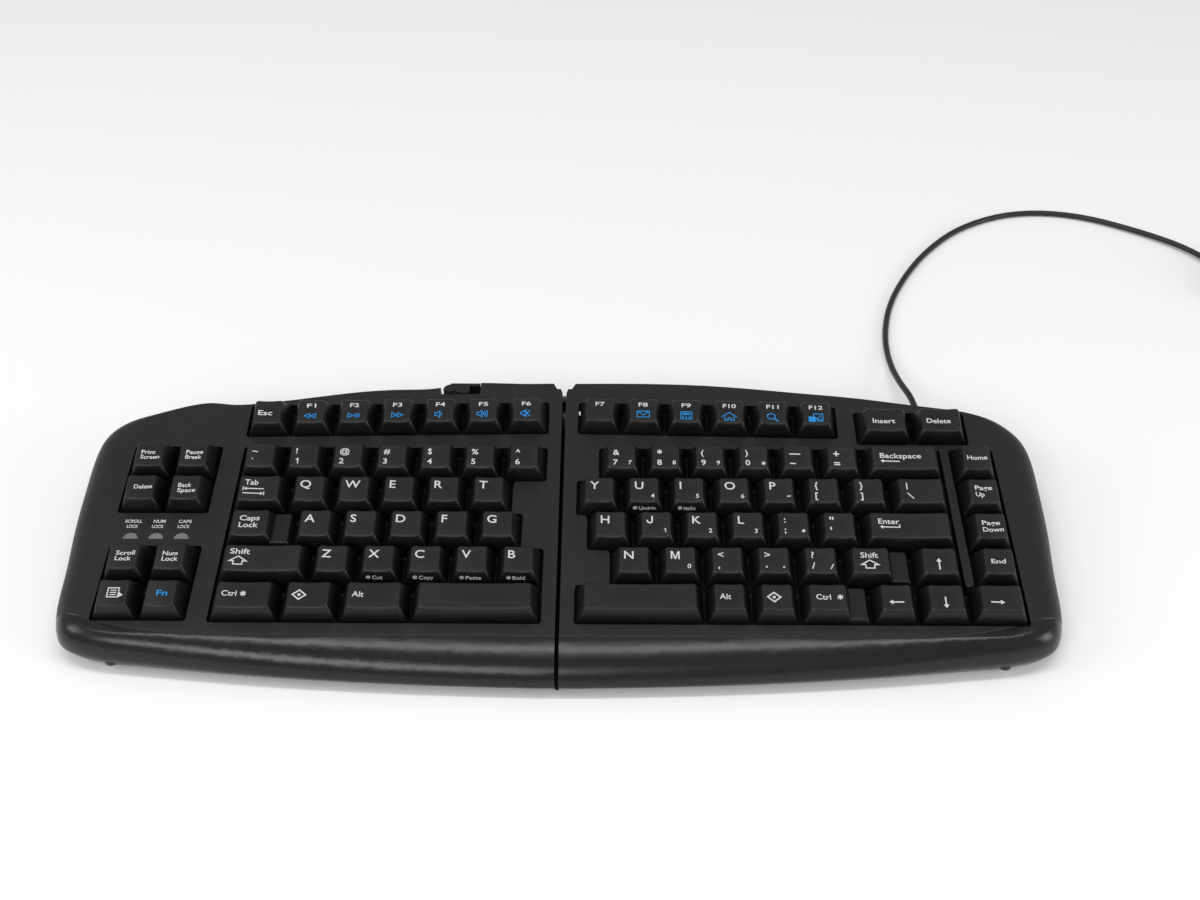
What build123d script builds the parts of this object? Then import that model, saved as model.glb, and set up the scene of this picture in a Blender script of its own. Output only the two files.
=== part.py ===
from build123d import *
import math
import os

os.makedirs("parts", exist_ok=True)

# X runs along the keyboard, to the right as its user sees it, Y to the rear and Z up. The origin lies on
# the table, in the middle of the outline of the two halves. The deck is the sloping top surface. The deck
# frame has its origin on that surface, on the split plane, at the front edge of the main key field.

# Key grid, from centre to centre of neighbouring keys
pitch = 19.05
inner_margin = 6.85
main_rows = 5
right_field_width = 158.8
left_field_units = 7

# Deck
deck_tilt = 5.5
deck_height = 18.75
deck_thickness = 2.5

# Case outline, and the depth of the rounded edge between the flat of the deck and its widest line
half_width = 208.8
front_reach = 23.7
rear_reach = 138.2
half_gap = 0.85
roll_depth = 11.0
wall = 2.2
floor_lift = 1.2
floor_thickness = 2.0
base_inset = 3.4
parting_height = 5.0
split_wall = 4.2

# Ball joint between the halves
joint_back = 127.5
joint_height = 14.5
ball_radius = 8.0
liner_thickness = 1.0
joint_clearance = 0.05
jaw_radius = 13.0
jaw_clearance = 0.6
jaw_reach = 4.2
jaw_rear_cut = 10.4
jaw_block = (-26.0, -8.0, -9.0, 4.0, 9.0)
jaw_lug = (-19.0, -5.0, 3.0, 8.0, 4.0, 10.0)
slot_start = -2.5
stud_radius = 2.6
stud_head_radius = 4.2
stud_head_length = 1.8
stud_head_offset = 6.4
stud_flange_radius = 4.6
stud_flange_start = 15.2
stud_flange_length = 2.2
stud_nut_radius = 4.4
stud_nut_length = 3.0
stud_tail = 1.2
bracket_thickness = 6.0
bracket_base_length = 16.0
bracket_base_thickness = 2.0
bracket_front = 6.4
bracket_rear = 4.0
bracket_high_rear = 5.6
bracket_step = 8.0
bracket_top = 20.6
mouth_angle = 60.0
tent_angle = 30.0
tent_margin = 0.35
notch_depth = 6.0
corner_cut = 6.0

# Key caps
cap_gap = 0.9
cap_drop = 1.5
cap_wall = 1.3
cap_ceiling = 4.4
cap_side_slope = 0.35
cap_front_slope = 0.15
cap_rear_slope = 0.45
cap_foot_radius = 0.8
cap_head_radius = 1.5
dish_depth = 0.6
step_top = 2.2
stepped_width = 21.8
bottom_row_heights = (7.4, 8.1)
lower_row_heights = (7.0, 8.2)
home_row_heights = (6.6, 8.0)
upper_row_heights = (6.8, 8.3)
number_row_heights = (7.0, 8.7)
function_row_heights = (7.2, 8.9)
side_block_heights = (7.2, 8.5)

# Plungers under the caps, and the guides that they slide in
plunger_side = 3.8
plunger_clearance = 0.08
plunger_end = 9.35
guide_wall = 0.9
guide_rise = 2.4
guide_fall = 1.3
well_margin = 0.35
well_corner = 1.4
well_wall = 1.4
rib_thickness = 1.6
stabilised_width = 34.0
stabiliser_inset = 9.5

# Key plate, rubber domes and membrane, measured down from the deck
plate_top = 6.0
plate_thickness = 1.6
plate_border = 2.2
plate_rim = 1.4
dome_top = 9.4
dome_height = 3.3
dome_foot_radius = 4.6
dome_head_radius = 2.9
dome_wall = 0.7
dome_sheet_thickness = 0.6
membrane_thickness = 0.4
backing_thickness = 0.6
stack_clearance = 0.5
stack_cut = (28.0, 7.0)

# Function keys, slanted along the curved rear edge
function_front = 104.6
function_slant = 1.12
function_pitch_left = 19.15
function_pitch_right = 19.2
function_count_left = 7
function_count_right = 6

# Keys beside and behind the main field
rib_width = 4.3
nav_width = 18.9
insert_left = 130.5
insert_front = 98.9
insert_width = 24.4
side_upper = (-188.3, 57.3)
side_lower = (-187.4, 0.6)

# Indicator lenses and their lamps
lens_radius = 3.1
lens_clearance = 0.08
lens_rise = 0.15
lens_thickness = 2.9
lens_front = 42.7
lens_first = -180.0
lens_pitch = 10.7
lamp_board_size = (30.0, 9.0, 1.0)
lamp_radius = 1.5
lamp_gap = 0.4
lamp_board_shift = 2.6

# Locking lever on the rear edge of the left half, and its rod to the joint
lever_pivot = (-52.4, 132.6)
lever_hub_radius = 3.2
lever_thickness = 5.0
lever_sink = 0.4
lever_clearance = 0.5
lever_knob_radius = 2.3
lever_knob_rise = 0.5
lever_arm_end = -38.8
lever_arm_back = 136.6
lever_arm_width = 1.6
lever_tab = (-49.0, -43.6, 130.4)
lever_shaft_radius = 1.5
lever_shaft_length = 5.6
lever_cam_radius = 2.1
lever_cam_thickness = 1.8
pocket_floor = 1.6
pocket_depth = 5.9
pocket_left = 4.4
pocket_end = -38.5
pocket_front = 129.2
rod_radius = 1.2

# Screws, bosses and feet
screw_radius = 1.2
screw_head_radius = 2.3
screw_head_height = 1.0
screw_length = 7.5
screw_sink = 0.1
screw_top = 9.2
screw_clearance = 0.05
boss_radius = 2.8
foot_radius = 6.0
foot_sink = 0.5
foot_clearance = 0.05
foot_edge = 0.4

# Circuit board in the right half, and the wires that join the halves
board_size = (40.0, 14.0, 1.2)
board_left = 139.0
board_front = 98.0
board_lift = 2.0
board_post_radius = 1.5
chip_size = (9.0, 9.0, 1.4)
link_radius = 1.5
link_clearance = 0.05
link_reach = 9.0
link_front = 90.0
link_height = 8.0
link_mouth = 1.6
link_plug_size = (5.0, 6.0, 6.0)

# Cable with its strain relief and plug
cord_diameter = 3.0
relief_length = 18.0
relief_root_radius = 3.4
relief_tip_radius = 2.1
relief_flange_radius = 4.4
relief_flange_length = 1.4
relief_clearance = 0.02
relief_height = 11.0
relief_x = 165.0
relief_start = 120.4
relief_straight = 4.0
tangent_share = 0.45
coil_sample = 1.5
coil_radius = 22.4
coil_pitch = 4.1
coil_layers = 4
coil_half_turns = 6
coil_lift = 1.1
coil_end_drop_length = 40.0
coil_end_height = 4.2
coil_centre = (374.4, 250.0)
tie_width = 6.0
tie_thickness = 0.8
tie_clearance = 0.3
tie_curve_allowance = 0.5
plug_body_size = (15.6, 33.0, 8.4)
plug_body_corner = 2.2
plug_shell_size = (12.0, 18.5, 4.5)
plug_shell_wall = 0.4
plug_tongue_size = (10.6, 14.0, 1.8)
plug_window_size = 2.2
overrun = 60.0
short_overrun = 1.0
curved_inset_share = 0.6

# Working values
cos_tilt = math.cos(math.radians(deck_tilt))
sin_tilt = math.sin(math.radians(deck_tilt))
rim_front = -front_reach * cos_tilt + roll_depth * sin_tilt
rim_rear = rear_reach * cos_tilt + roll_depth * sin_tilt
deck_y = -(rim_front + rim_rear) / 2
deck = Location((0, deck_y, deck_height), (deck_tilt, 0, 0))
joint = (0, deck_y + joint_back, joint_height)
case_depth = front_reach + rear_reach
floor_top = floor_lift + floor_thickness
pocket_radius = jaw_radius + jaw_clearance
liner_radius = ball_radius + joint_clearance + liner_thickness
seat_radius = liner_radius + joint_clearance
dome_base = dome_top + dome_height
stack_bottom = dome_base + dome_sheet_thickness + membrane_thickness + backing_thickness
left_field_edge = -inner_margin - left_field_units * pitch
right_field_edge = inner_margin + right_field_width
nav_left = right_field_edge + rib_width
nav_right = nav_left + nav_width
field_depth = main_rows * pitch

# Widest line of the case from the split at the front, round the side, to the split at the rear, in shares
# of the half width and of the case depth. The second pair of each point is the edge of the flat deck.
front_side_shares = [
    (0.043, 0.001, 0.043, 0.108), (0.273, 0.010, 0.273, 0.109), (0.469, 0.024, 0.469, 0.110),
    (0.661, 0.045, 0.661, 0.112), (0.819, 0.067, 0.805, 0.115), (0.910, 0.087, 0.876, 0.122),
    (0.960, 0.122, 0.915, 0.149), (0.980, 0.183, 0.927, 0.202), (0.9885, 0.319, 0.933, 0.319),
    (0.997, 0.480, 0.940, 0.480), (1.0, 0.628, 0.9435, 0.628), (0.999, 0.739, 0.9435, 0.715),
    (0.9855, 0.813, 0.936, 0.780),
]
right_rear_shares = [
    (0.947, 0.863, 0.912, 0.846), (0.883, 0.893, 0.868, 0.880), (0.819, 0.910, 0.809, 0.896),
    (0.733, 0.927, 0.731, 0.913), (0.627, 0.948, 0.626, 0.936), (0.517, 0.9635, 0.516, 0.953),
    (0.364, 0.986, 0.364, 0.976), (0.254, 0.996, 0.254, 0.986), (0.125, 1.0, 0.125, 0.989),
    (0.043, 1.0, 0.043, 0.988),
]
left_rear_shares = [
    (0.946, 0.863, 0.911, 0.825), (0.896, 0.884, 0.874, 0.857), (0.800, 0.911, 0.797, 0.899),
    (0.762, 0.914, 0.762, 0.905), (0.723, 0.907, 0.723, 0.899), (0.683, 0.9055, 0.683, 0.9005),
    (0.630, 0.916, 0.630, 0.910), (0.575, 0.930, 0.575, 0.922), (0.469, 0.956, 0.469, 0.947),
    (0.359, 0.970, 0.359, 0.961), (0.278, 0.978, 0.278, 0.968), (0.230, 0.994, 0.230, 0.984),
    (0.144, 1.0, 0.144, 0.989), (0.043, 1.0, 0.043, 0.988),
]
# Ribs on the floor: distance from the split, then front and rear ends in the deck frame
rib_table = [
    (18.0, 2.0, 92.0), (58.0, 2.0, 92.0), (98.0, 2.0, 92.0), (134.0, 2.0, 92.0), (180.0, 12.0, 82.0),
    (58.0, 104.0, 118.0), (98.0, 102.0, 117.0),
]
# Corners of the cable's route behind the strain relief: x, y and z, with y from the front of the key field
cord_route = [
    (165.0, 150.0, 11.0), (161.0, 168.0, 7.6), (159.6, 189.0, 3.0), (160.4, 212.0, 1.5), (166.0, 238.0, 1.5),
    (177.0, 263.0, 1.5), (193.0, 289.0, 1.5), (216.0, 313.5, 1.5), (248.0, 328.5, 1.5),
    (282.0, 326.5, 1.6), (313.0, 310.0, 1.9), (338.0, 291.0, 2.3),
]
cord_last_runs = (14.0, 0.0)
# Section of the rounded edge, as shares of its width and of its depth
roll_section_shares = [(0.0, 0.0), (0.30, 0.07), (0.62, 0.24), (0.87, 0.53), (1.0, 1.0)]
# Bite out of the inner rear corner, as shares of the half width and of the case depth
notch_shares = [
    (0.043, 1.05), (0.043, 0.9995), (0.0245, 0.9895), (0.0163, 0.9667), (0.0, 0.9667), (0.0, 1.05),
]
# Screws and feet, as shares of the half width and of the case depth
right_screw_shares = [(0.144, 0.072), (0.551, 0.077), (0.862, 0.107), (0.896, 0.795)]
left_screw_shares = [(0.144, 0.072), (0.551, 0.077), (0.862, 0.107), (0.733, 0.815)]
foot_shares = [(0.12, 0.13), (0.82, 0.23), (0.27, 0.86), (0.87, 0.72)]


row_heights = [
    bottom_row_heights, lower_row_heights, home_row_heights, upper_row_heights, number_row_heights,
]
# Widths of the keys of each main row from the left, front row first, in key pitches. On the right each row
# has its indent first, and one more key that fills the row up to the edge of the field.
left_row_units = [
    (1.5, 1.25, 1.5, 2.75), (2, 1, 1, 1, 1, 1), (1.5, 1, 1, 1, 1, 1), (1.25, 1, 1, 1, 1, 1),
    (1, 1, 1, 1, 1, 1, 1),
]
right_row_units = [
    (0, (2.75, 1, 1, 1.5, 1)), (0.75, (1, 1, 1, 1, 1, 1.5)), (0.25, (1, 1, 1, 1, 1, 1)),
    (0, (1, 1, 1, 1, 1, 1, 1)), (0.5, (1, 1, 1, 1, 1, 1)),
]


def save(name, *shapes):
    """Writes one node, made of one or more separate solids, to its own file."""
    solids = [solid for shape in shapes for solid in shape.solids()]
    export_step(Compound(children=solids, label=name), os.path.join("parts", name + ".step"))
    print(name, len(solids), round(sum(solid.volume for solid in solids)))


def block(x0, x1, y0, y1, z0, z1):
    """A box between two corners."""
    return Pos((x0 + x1) / 2, (y0 + y1) / 2, (z0 + z1) / 2) * Box(x1 - x0, y1 - y0, z1 - z0)


def disc(x, y, z0, z1, radius):
    """An upright cylinder between two heights."""
    return Pos(x, y, (z0 + z1) / 2) * Cylinder(radius, z1 - z0)


def bar(x0, x1, y, z, radius):
    """A cylinder along X."""
    return Pos((x0 + x1) / 2, y, z) * (Rot(0, 90, 0) * Cylinder(radius, x1 - x0))


def on_deck(x, y, z):
    """A point of the deck frame, in the frame of the whole keyboard."""
    return Vector(x, deck_y + y * cos_tilt - z * sin_tilt, deck_height + y * sin_tilt + z * cos_tilt)


def outline(side, out_share, inset):
    """Points of the case outline, from the edge of the flat deck to the widest line, drawn in by inset."""
    table = front_side_shares + (right_rear_shares if side > 0 else left_rear_shares)
    points = []
    for rim_x, rim_y, flat_x, flat_y in table:
        x = half_width * (flat_x + (rim_x - flat_x) * out_share)
        y = -front_reach + case_depth * (flat_y + (rim_y - flat_y) * out_share)
        points.append((x, y))
    drawn = []
    for place, (x, y) in enumerate(points):
        before = points[max(place - 1, 0)]
        after = points[min(place + 1, len(points) - 1)]
        along = (after[0] - before[0], after[1] - before[1])
        length = math.hypot(along[0], along[1])
        drawn.append((x - along[1] / length * inset, y + along[0] / length * inset))
    return drawn


def section(side, out_share, inset, split, place):
    """Closed wire of the case outline. place turns an x and a y into a point."""
    points = outline(side, out_share, inset)
    first = place(side * split, points[0][1])
    last = place(side * split, points[-1][1])
    curve = [place(side * x, y) for x, y in points]
    edges = [Spline(curve), Line(curve[-1], last), Line(last, first), Line(first, curve[0])]
    return Wire([edge.edge() for edge in edges])


def case_body(side, inset, split, drop, base):
    """One half of the case, closed: the rounded edge, then the side that draws in towards the base."""
    sections = []
    for out_share, down_share in roll_section_shares:
        z = -drop + (drop - roll_depth) * down_share
        inset_here = inset * (1 - curved_inset_share * (1 - out_share))
        sections.append(section(side, out_share, inset_here, split, lambda x, y, z=z: on_deck(x, y, z)))
    upper = Solid.make_loft(sections, False)
    rim = on_deck(0, 0, -roll_depth)
    low = lambda x, y: Vector(x, rim.Y + y * cos_tilt, base)
    lower = Solid.make_loft([sections[-1], section(side, 1, inset + base_inset, split, low)], True)
    return upper + lower


def row_cells(side, row):
    """Left edges and widths of the keys of one main row, front row first, in the deck frame."""
    if side < 0:
        units = left_row_units[row]
        starts = [left_field_edge + pitch * sum(units[:place]) for place in range(len(units))]
        return [(x, pitch * unit) for x, unit in zip(starts, units)]
    offset, units = right_row_units[row]
    start = inner_margin + offset * pitch
    starts = [start + pitch * sum(units[:place]) for place in range(len(units))]
    end = start + pitch * sum(units)
    cells = [(x, pitch * unit) for x, unit in zip(starts, units)]
    return cells + [(end, right_field_edge - end)]


def row_span(side, row):
    """Front-left corner, width and depth of one main row."""
    cells = row_cells(side, row)
    x = cells[0][0]
    return x, row * pitch, cells[-1][0] + cells[-1][1] - x, pitch


def function_cell(side, place):
    """Centre, turn and width of one function key. Place 0 is next to the split."""
    width = function_pitch_right if side > 0 else function_pitch_left
    from_split = inner_margin + (place + 0.5) * width
    y = function_front + pitch / 2 - (from_split - inner_margin) * math.tan(math.radians(function_slant))
    return side * from_split, y, -side * function_slant, width


def patch(x, y, width, depth, grow):
    """A rectangle with its front-left corner at x and y, grown all round."""
    return Pos(x + width / 2, y + depth / 2) * Rectangle(width + 2 * grow, depth + 2 * grow)


def function_patch(side, grow):
    """The strip of function keys on one side."""
    count = function_count_right if side > 0 else function_count_left
    first = function_cell(side, 0)
    last = function_cell(side, count - 1)
    middle = ((first[0] + last[0]) / 2, (first[1] + last[1]) / 2)
    length = count * first[3] + 2 * grow
    return Pos(middle[0], middle[1]) * (Rot(0, 0, first[2]) * Rectangle(length, pitch + 2 * grow))


def wells(side, grow):
    """The openings in the deck, one sketch for each."""
    field = Sketch() + [patch(*row_span(side, row), grow) for row in range(main_rows)]
    if side > 0:
        field += patch(right_field_edge, 0, nav_right - right_field_edge, pitch, grow)
        field += patch(nav_left, 0, nav_width, field_depth, grow)
        insert = patch(insert_left, insert_front, 2 * insert_width, pitch, grow)
        return [field, function_patch(side, grow), insert]
    blocks = [patch(x, y, 2 * pitch, 2 * pitch, grow) for x, y in (side_upper, side_lower)]
    return [field, function_patch(side, grow)] + blocks


def well_bodies(side, grow, corner, z0, z1):
    """The openings as upright bodies, with rounded corners if corner has a radius."""
    bodies = []
    for sketch in wells(side, grow):
        rounded = fillet(sketch.vertices(), corner) if corner else sketch
        bodies.append(Pos(0, 0, z0) * extrude(rounded, z1 - z0))
    return bodies


def plate_outline(side, border):
    """Outline of the key plate, the rubber sheet and the membrane."""
    start = inner_margin - border
    shape = function_patch(side, border)
    edge = nav_right if side > 0 else -side_upper[0]
    top = field_depth + border
    middle = (side * (start + edge + border) / 2, (top - border) / 2)
    shape += Pos(*middle) * Rectangle(edge + border - start, top + border)
    count = function_count_right if side > 0 else function_count_left
    reach = inner_margin + count * function_cell(side, 0)[3]
    left = min(side * start, side * (reach - border))
    shape += patch(left, field_depth, reach - border - start, pitch, 0)
    if side > 0:
        insert_depth = insert_front + pitch - field_depth
        shape += patch(insert_left, field_depth, 2 * insert_width, insert_depth, border)
    return shape


def key_sites(side):
    """Centre of every plunger, and whether a dome sits below it."""
    sites = []
    for x, y, width, depth in all_cells(side):
        centre = (x + width / 2, y + depth / 2)
        sites.append((centre[0], centre[1], 0, True))
        if width > stabilised_width:
            for end in (-1, 1):
                sites.append((centre[0] + end * (width / 2 - stabiliser_inset), centre[1], 0, False))
    count = function_count_right if side > 0 else function_count_left
    for place in range(count):
        x, y, turn, width = function_cell(side, place)
        sites.append((x, y, turn, True))
    return sites


def all_cells(side):
    """Front-left corner, width and depth of every key but the function keys."""
    cells = []
    for row in range(main_rows):
        cells += [(x, row * pitch, width, pitch) for x, width in row_cells(side, row)]
    if side > 0:
        cells.append((right_field_edge, 0, nav_right - right_field_edge, pitch))
        cells += [(nav_left, row * pitch, nav_width, pitch) for row in range(1, main_rows)]
        return cells + insert_cells()
    return cells + block_cells(side_upper) + block_cells(side_lower)


def insert_cells():
    """Front-left corner, width and depth of the two keys behind the main field."""
    return [(insert_left + place * insert_width, insert_front, insert_width, pitch) for place in range(2)]


def block_cells(corner):
    """Front-left corner, width and depth of four keys in a square."""
    x, y = corner
    return [(x + i * pitch, y + j * pitch, pitch, pitch) for j in range(2) for i in range(2)]


def relief_space():
    """Space kept free along the split, so that the halves can turn about the joint. The tent axis follows the
    deck's slope, so it reaches the table at the front edge, where the halves lie close all the way down."""
    run = math.tan(math.radians(tent_angle / 2))
    reach = overrun * run + tent_margin
    apex = tent_margin / run
    x, y, z = joint
    below = Polyline((0, apex), (reach, -overrun), (-reach, -overrun), (0, apex))
    below = Rot(deck_tilt, 0, 0) * extrude(Plane.XZ * make_face(below), case_depth, both=True)
    behind = Polyline((0, -apex), (reach, overrun), (-reach, overrun), (0, -apex))
    behind = extrude(make_face(behind), overrun, both=True)
    corner = block(-corner_cut, corner_cut, 0, overrun, -overrun, 0)
    return Pos(x, y, z) * (below + behind + corner)


def notch():
    """Bite out of the inner rear corners of the deck."""
    right = [(half_width * x, -front_reach + case_depth * y) for x, y in notch_shares]
    shape = make_face(Polyline(right + right[:1]))
    shape += mirror(shape, Plane.YZ)
    return deck * (Pos(0, 0, -notch_depth) * extrude(shape, 2 * notch_depth))


def pocket(grow):
    """Ball-shaped space round the joint."""
    return Pos(*joint) * Sphere(pocket_radius + grow)


def ground(share):
    """A place on the table from its shares of the half width and of the case depth."""
    return half_width * share[0], deck_y - front_reach + case_depth * share[1]


def lever_pocket(grow):
    """Recess of the lever in the rear edge of the left half. grow adds its walls."""
    x0 = lever_pivot[0] - pocket_left - grow
    rear = rear_reach + overrun
    return deck * block(x0, pocket_end + grow, pocket_front - grow, rear, -pocket_depth - grow, overrun)


def on_lever(shape):
    """Places a shape of the deck frame on the lever pivot."""
    return deck * (Pos(lever_pivot[0], lever_pivot[1], 0) * shape)


def lens_bodies(grow, z0, z1):
    """The half-round lenses."""
    half = Circle(lens_radius + grow) & Pos(0, lens_radius) * Rectangle(overrun, 2 * (lens_radius + grow))
    shape = Pos(0, 0, z0) * extrude(half, z1 - z0)
    return [deck * (Pos(lens_first + place * lens_pitch, lens_front, 0) * shape) for place in range(3)]


def screw_places(side):
    shares = right_screw_shares if side > 0 else left_screw_shares
    return [(side * x, y) for x, y in map(ground, shares)]


def foot_places(side):
    return [(side * x, y) for x, y in map(ground, foot_shares)]


def top_case(side, outer):
    """Upper shell of one half, with the walls of the key wells and the screw bosses."""
    cavity = case_body(side, wall, half_gap + split_wall, deck_thickness, floor_lift)
    for body in well_bodies(side, well_margin + well_wall, 0, -plate_top, 0):
        cavity -= deck * body
    for x, y in screw_places(side):
        cavity -= disc(x, y, 0, on_deck(0, y - deck_y, -deck_thickness / 2).Z, boss_radius)
    if side < 0:
        cavity -= lever_pocket(pocket_floor)
    shell = outer - cavity
    for body in well_bodies(side, well_margin, well_corner, -plate_top - overrun, overrun):
        shell -= deck * body
    shell &= block(-2 * half_width, 2 * half_width, -case_depth, case_depth, parting_height, overrun)
    for x, y in screw_places(side):
        shell -= disc(x, y, 0, screw_top + screw_clearance, screw_radius + screw_clearance)
    if side < 0:
        shell -= lever_pocket(0)
        shell -= on_lever(disc(0, 0, -overrun, 0, lever_shaft_radius + joint_clearance))
        cam_room = -pocket_depth - pocket_floor
        shell -= on_lever(disc(0, 0, cam_room - overrun, cam_room, lever_cam_radius + lever_clearance))
        for lens in lens_bodies(lens_clearance, -deck_thickness - short_overrun, short_overrun):
            shell -= lens
    shell -= relief_hole(side)
    return shell - pocket(0) - relief_space() - notch()


def relief_hole(side):
    """Holes of one half: the link's in the split wall and, on the right, the strain relief's at the rear."""
    link = bar(-link_reach, link_reach, deck_y + link_front, link_height, link_radius + link_clearance)
    if side < 0:
        return link
    hole = Rot(-90, 0, 0) * Cylinder(relief_root_radius + relief_clearance, 2 * relief_length)
    return link + Pos(relief_x, deck_y + relief_start, relief_height) * hole


def bottom_case(side, outer):
    """Lower shell of one half, with the ribs under the key stack and the screw bosses."""
    cavity = case_body(side, wall, half_gap + split_wall, deck_thickness, floor_top)
    everywhere = (-2 * half_width, 2 * half_width, -case_depth, case_depth)
    shell = (outer - cavity) & block(*everywhere, 0, parting_height)
    above_floor = block(*everywhere, floor_lift + floor_thickness / 2, overrun)
    for x, y0, y1 in rib_table:
        rib = block(x - rib_thickness / 2, x + rib_thickness / 2, y0, y1, -overrun, -stack_bottom)
        rib = deck * (Pos((side - 1) * x, 0, 0) * rib) if side < 0 else deck * rib
        shell += rib & above_floor
    for x, y in screw_places(side):
        shell += disc(x, y, floor_lift + floor_thickness / 2, parting_height, boss_radius)
    for x, y in screw_places(side):
        hole = disc(x, y, 0, parting_height + short_overrun, screw_radius + screw_clearance)
        shell -= hole
        head_top = floor_lift + screw_sink + screw_head_height
        shell -= disc(x, y, 0, head_top, screw_head_radius + screw_clearance)
    for x, y in foot_places(side):
        shell -= disc(x, y, 0, floor_lift + foot_sink, foot_radius + foot_clearance)
    if side > 0:
        for x, y in board_posts():
            shell += disc(x, y, floor_lift + floor_thickness / 2, floor_top + board_lift, board_post_radius)
    shell -= relief_hole(side)
    return shell - pocket(0) - relief_space()


def board_posts():
    """Places of the posts under the circuit board."""
    inset = 2 * board_post_radius
    xs = (board_left + inset, board_left + board_size[0] - inset)
    ys = (deck_y + board_front + inset, deck_y + board_front + board_size[1] - inset)
    return [(x, y) for x in xs for y in ys]


def stack_envelope(side):
    """Room for the key plate, the rubber sheet and the membrane inside one half."""
    clear = wall + stack_clearance
    room = case_body(side, clear, half_gap + split_wall + stack_clearance, deck_thickness, floor_top)
    cut = block(-stack_cut[0], stack_cut[0], joint[1] - stack_cut[1], joint[1] + overrun, 0, overrun)
    room -= cut
    return room - pocket(stack_clearance)


def layer(side, border, z0, z1, envelope):
    """One flat layer of the key stack."""
    return envelope & deck * (Pos(0, 0, z0) * extrude(plate_outline(side, border), z1 - z0))


def key_plate(side, envelope):
    """Plate with a square guide for each plunger and a rim that presses the rubber sheet down."""
    plate = layer(side, plate_border, -plate_top - plate_thickness, -plate_top, envelope)
    rim = plate_outline(side, plate_border) - plate_outline(side, plate_border - plate_rim)
    rim = Pos(0, 0, -dome_base) * extrude(rim, dome_base - plate_top - plate_thickness / 2)
    plate += envelope & deck * rim
    hole = plunger_side + 2 * plunger_clearance
    outside = hole + 2 * guide_wall
    height = guide_rise + plate_thickness + guide_fall
    middle = -plate_top + guide_rise - height / 2
    guides = []
    holes = []
    for x, y, turn, _ in key_sites(side):
        place = deck * Location((x, y, middle), (0, 0, turn))
        guides.append(place * Box(outside, outside, height))
        holes.append(place * Box(hole, hole, 2 * height))
    return (plate + guides) - holes


def dome_sheet(side, envelope):
    """Rubber sheet with a hollow dome under each key."""
    sheet = layer(side, plate_border, -dome_base - dome_sheet_thickness, -dome_base, envelope)
    rise = Pos(0, 0, dome_height / 2)
    outside = rise * Cone(dome_foot_radius, dome_head_radius, dome_height)
    inside = Cone(dome_foot_radius - dome_wall, dome_head_radius - dome_wall, dome_height - dome_wall)
    inside = Pos(0, 0, (dome_height - dome_wall) / 2) * inside
    vent = Cylinder(dome_foot_radius - dome_wall, 2 * dome_sheet_thickness)
    vent = Pos(0, 0, -dome_sheet_thickness / 2) * vent
    places = [deck * Pos(x, y, -dome_base) for x, y, turn, has_dome in key_sites(side) if has_dome]
    sheet = sheet + [place * outside for place in places]
    return sheet - [place * (inside + vent) for place in places]


def sensor_plate(side, envelope):
    """Switch membrane bonded to its steel backing."""
    return layer(side, plate_border, -stack_bottom, -dome_base - dome_sheet_thickness, envelope)


def cap_blank(x0, x1, depth, front, rear, trim):
    """Tapered block of a cap between two sides, its top sloping from front to rear. trim hollows it."""
    foot = -cap_drop - trim
    mean = (front + rear) / 2 - foot
    width = x1 - x0 - cap_gap - 2 * min(trim, cap_wall)
    deep = depth - cap_gap - 2 * min(trim, cap_wall)
    y_front = -deep / 2 + cap_front_slope * (front - foot)
    y_rear = deep / 2 - cap_rear_slope * (rear - foot)
    tilt = math.degrees(math.atan2(rear - front, y_rear - y_front))
    head_size = (width - 2 * cap_side_slope * mean, math.hypot(y_rear - y_front, rear - front))
    head_place = Location(((x0 + x1) / 2, (y_front + y_rear) / 2, (front + rear) / 2), (tilt, 0, 0))
    foot_face = Pos((x0 + x1) / 2, 0, foot) * RectangleRounded(width, deep, cap_foot_radius)
    head_face = head_place * RectangleRounded(head_size[0], head_size[1], cap_head_radius)
    return loft([foot_face, head_face]), head_place, head_size[0]


def cap(width, depth, heights, high_width):
    """Key cap centred on its cell: tapered sides, a dished top, hollow below, with its plungers."""
    front, rear = heights
    left = -width / 2
    body, head_place, head_width = cap_blank(left, left + high_width, depth, front, rear, 0)
    radius = (head_width ** 2 / 4 + dish_depth ** 2) / (2 * dish_depth)
    dish = Rot(90, 0, 0) * Cylinder(radius, 2 * depth)
    body -= head_place * (Pos(0, 0, radius - dish_depth) * dish)
    if high_width < width:
        body += cap_blank(left, -left, depth, step_top, step_top, 0)[0]
    lower = -cap_ceiling
    body -= cap_blank(left, left + high_width, depth, front + lower, rear + lower, cap_wall)[0]
    if high_width < width:
        top = step_top - cap_wall
        body -= cap_blank(left, -left, depth, top, top, cap_wall)[0]
    stem_top = front - cap_ceiling / 2
    posts = [0]
    if width > stabilised_width:
        posts += [left + stabiliser_inset, -left - stabiliser_inset]
    for x in posts:
        side = plunger_side / 2
        body += block(x - side, x + side, -side, side, -plunger_end, stem_top)
    return body


def cap_at(side, cell, heights, high_width):
    """A cap over a cell given by its front-left corner, width and depth."""
    x, y, width, depth = cell
    place = deck * Pos(x + width / 2, y + depth / 2)
    return place * cap(width, depth, heights, min(high_width, width))


def row_caps(side, row, first, last, stepped=False):
    """Caps of part of a main row."""
    heights = row_heights[row]
    cells = row_cells(side, row)[first:last]
    high = stepped_width if stepped else half_width
    return [cap_at(side, (x, row * pitch, width, pitch), heights, high) for x, width in cells]


def function_caps(side):
    """Caps of the slanted function row on one side."""
    count = function_count_right if side > 0 else function_count_left
    caps = []
    for number in range(count):
        x, y, turn, width = function_cell(side, number)
        place = deck * Location((x, y, 0), (0, 0, turn))
        caps.append(place * cap(width, pitch, function_row_heights, width))
    return caps


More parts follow.
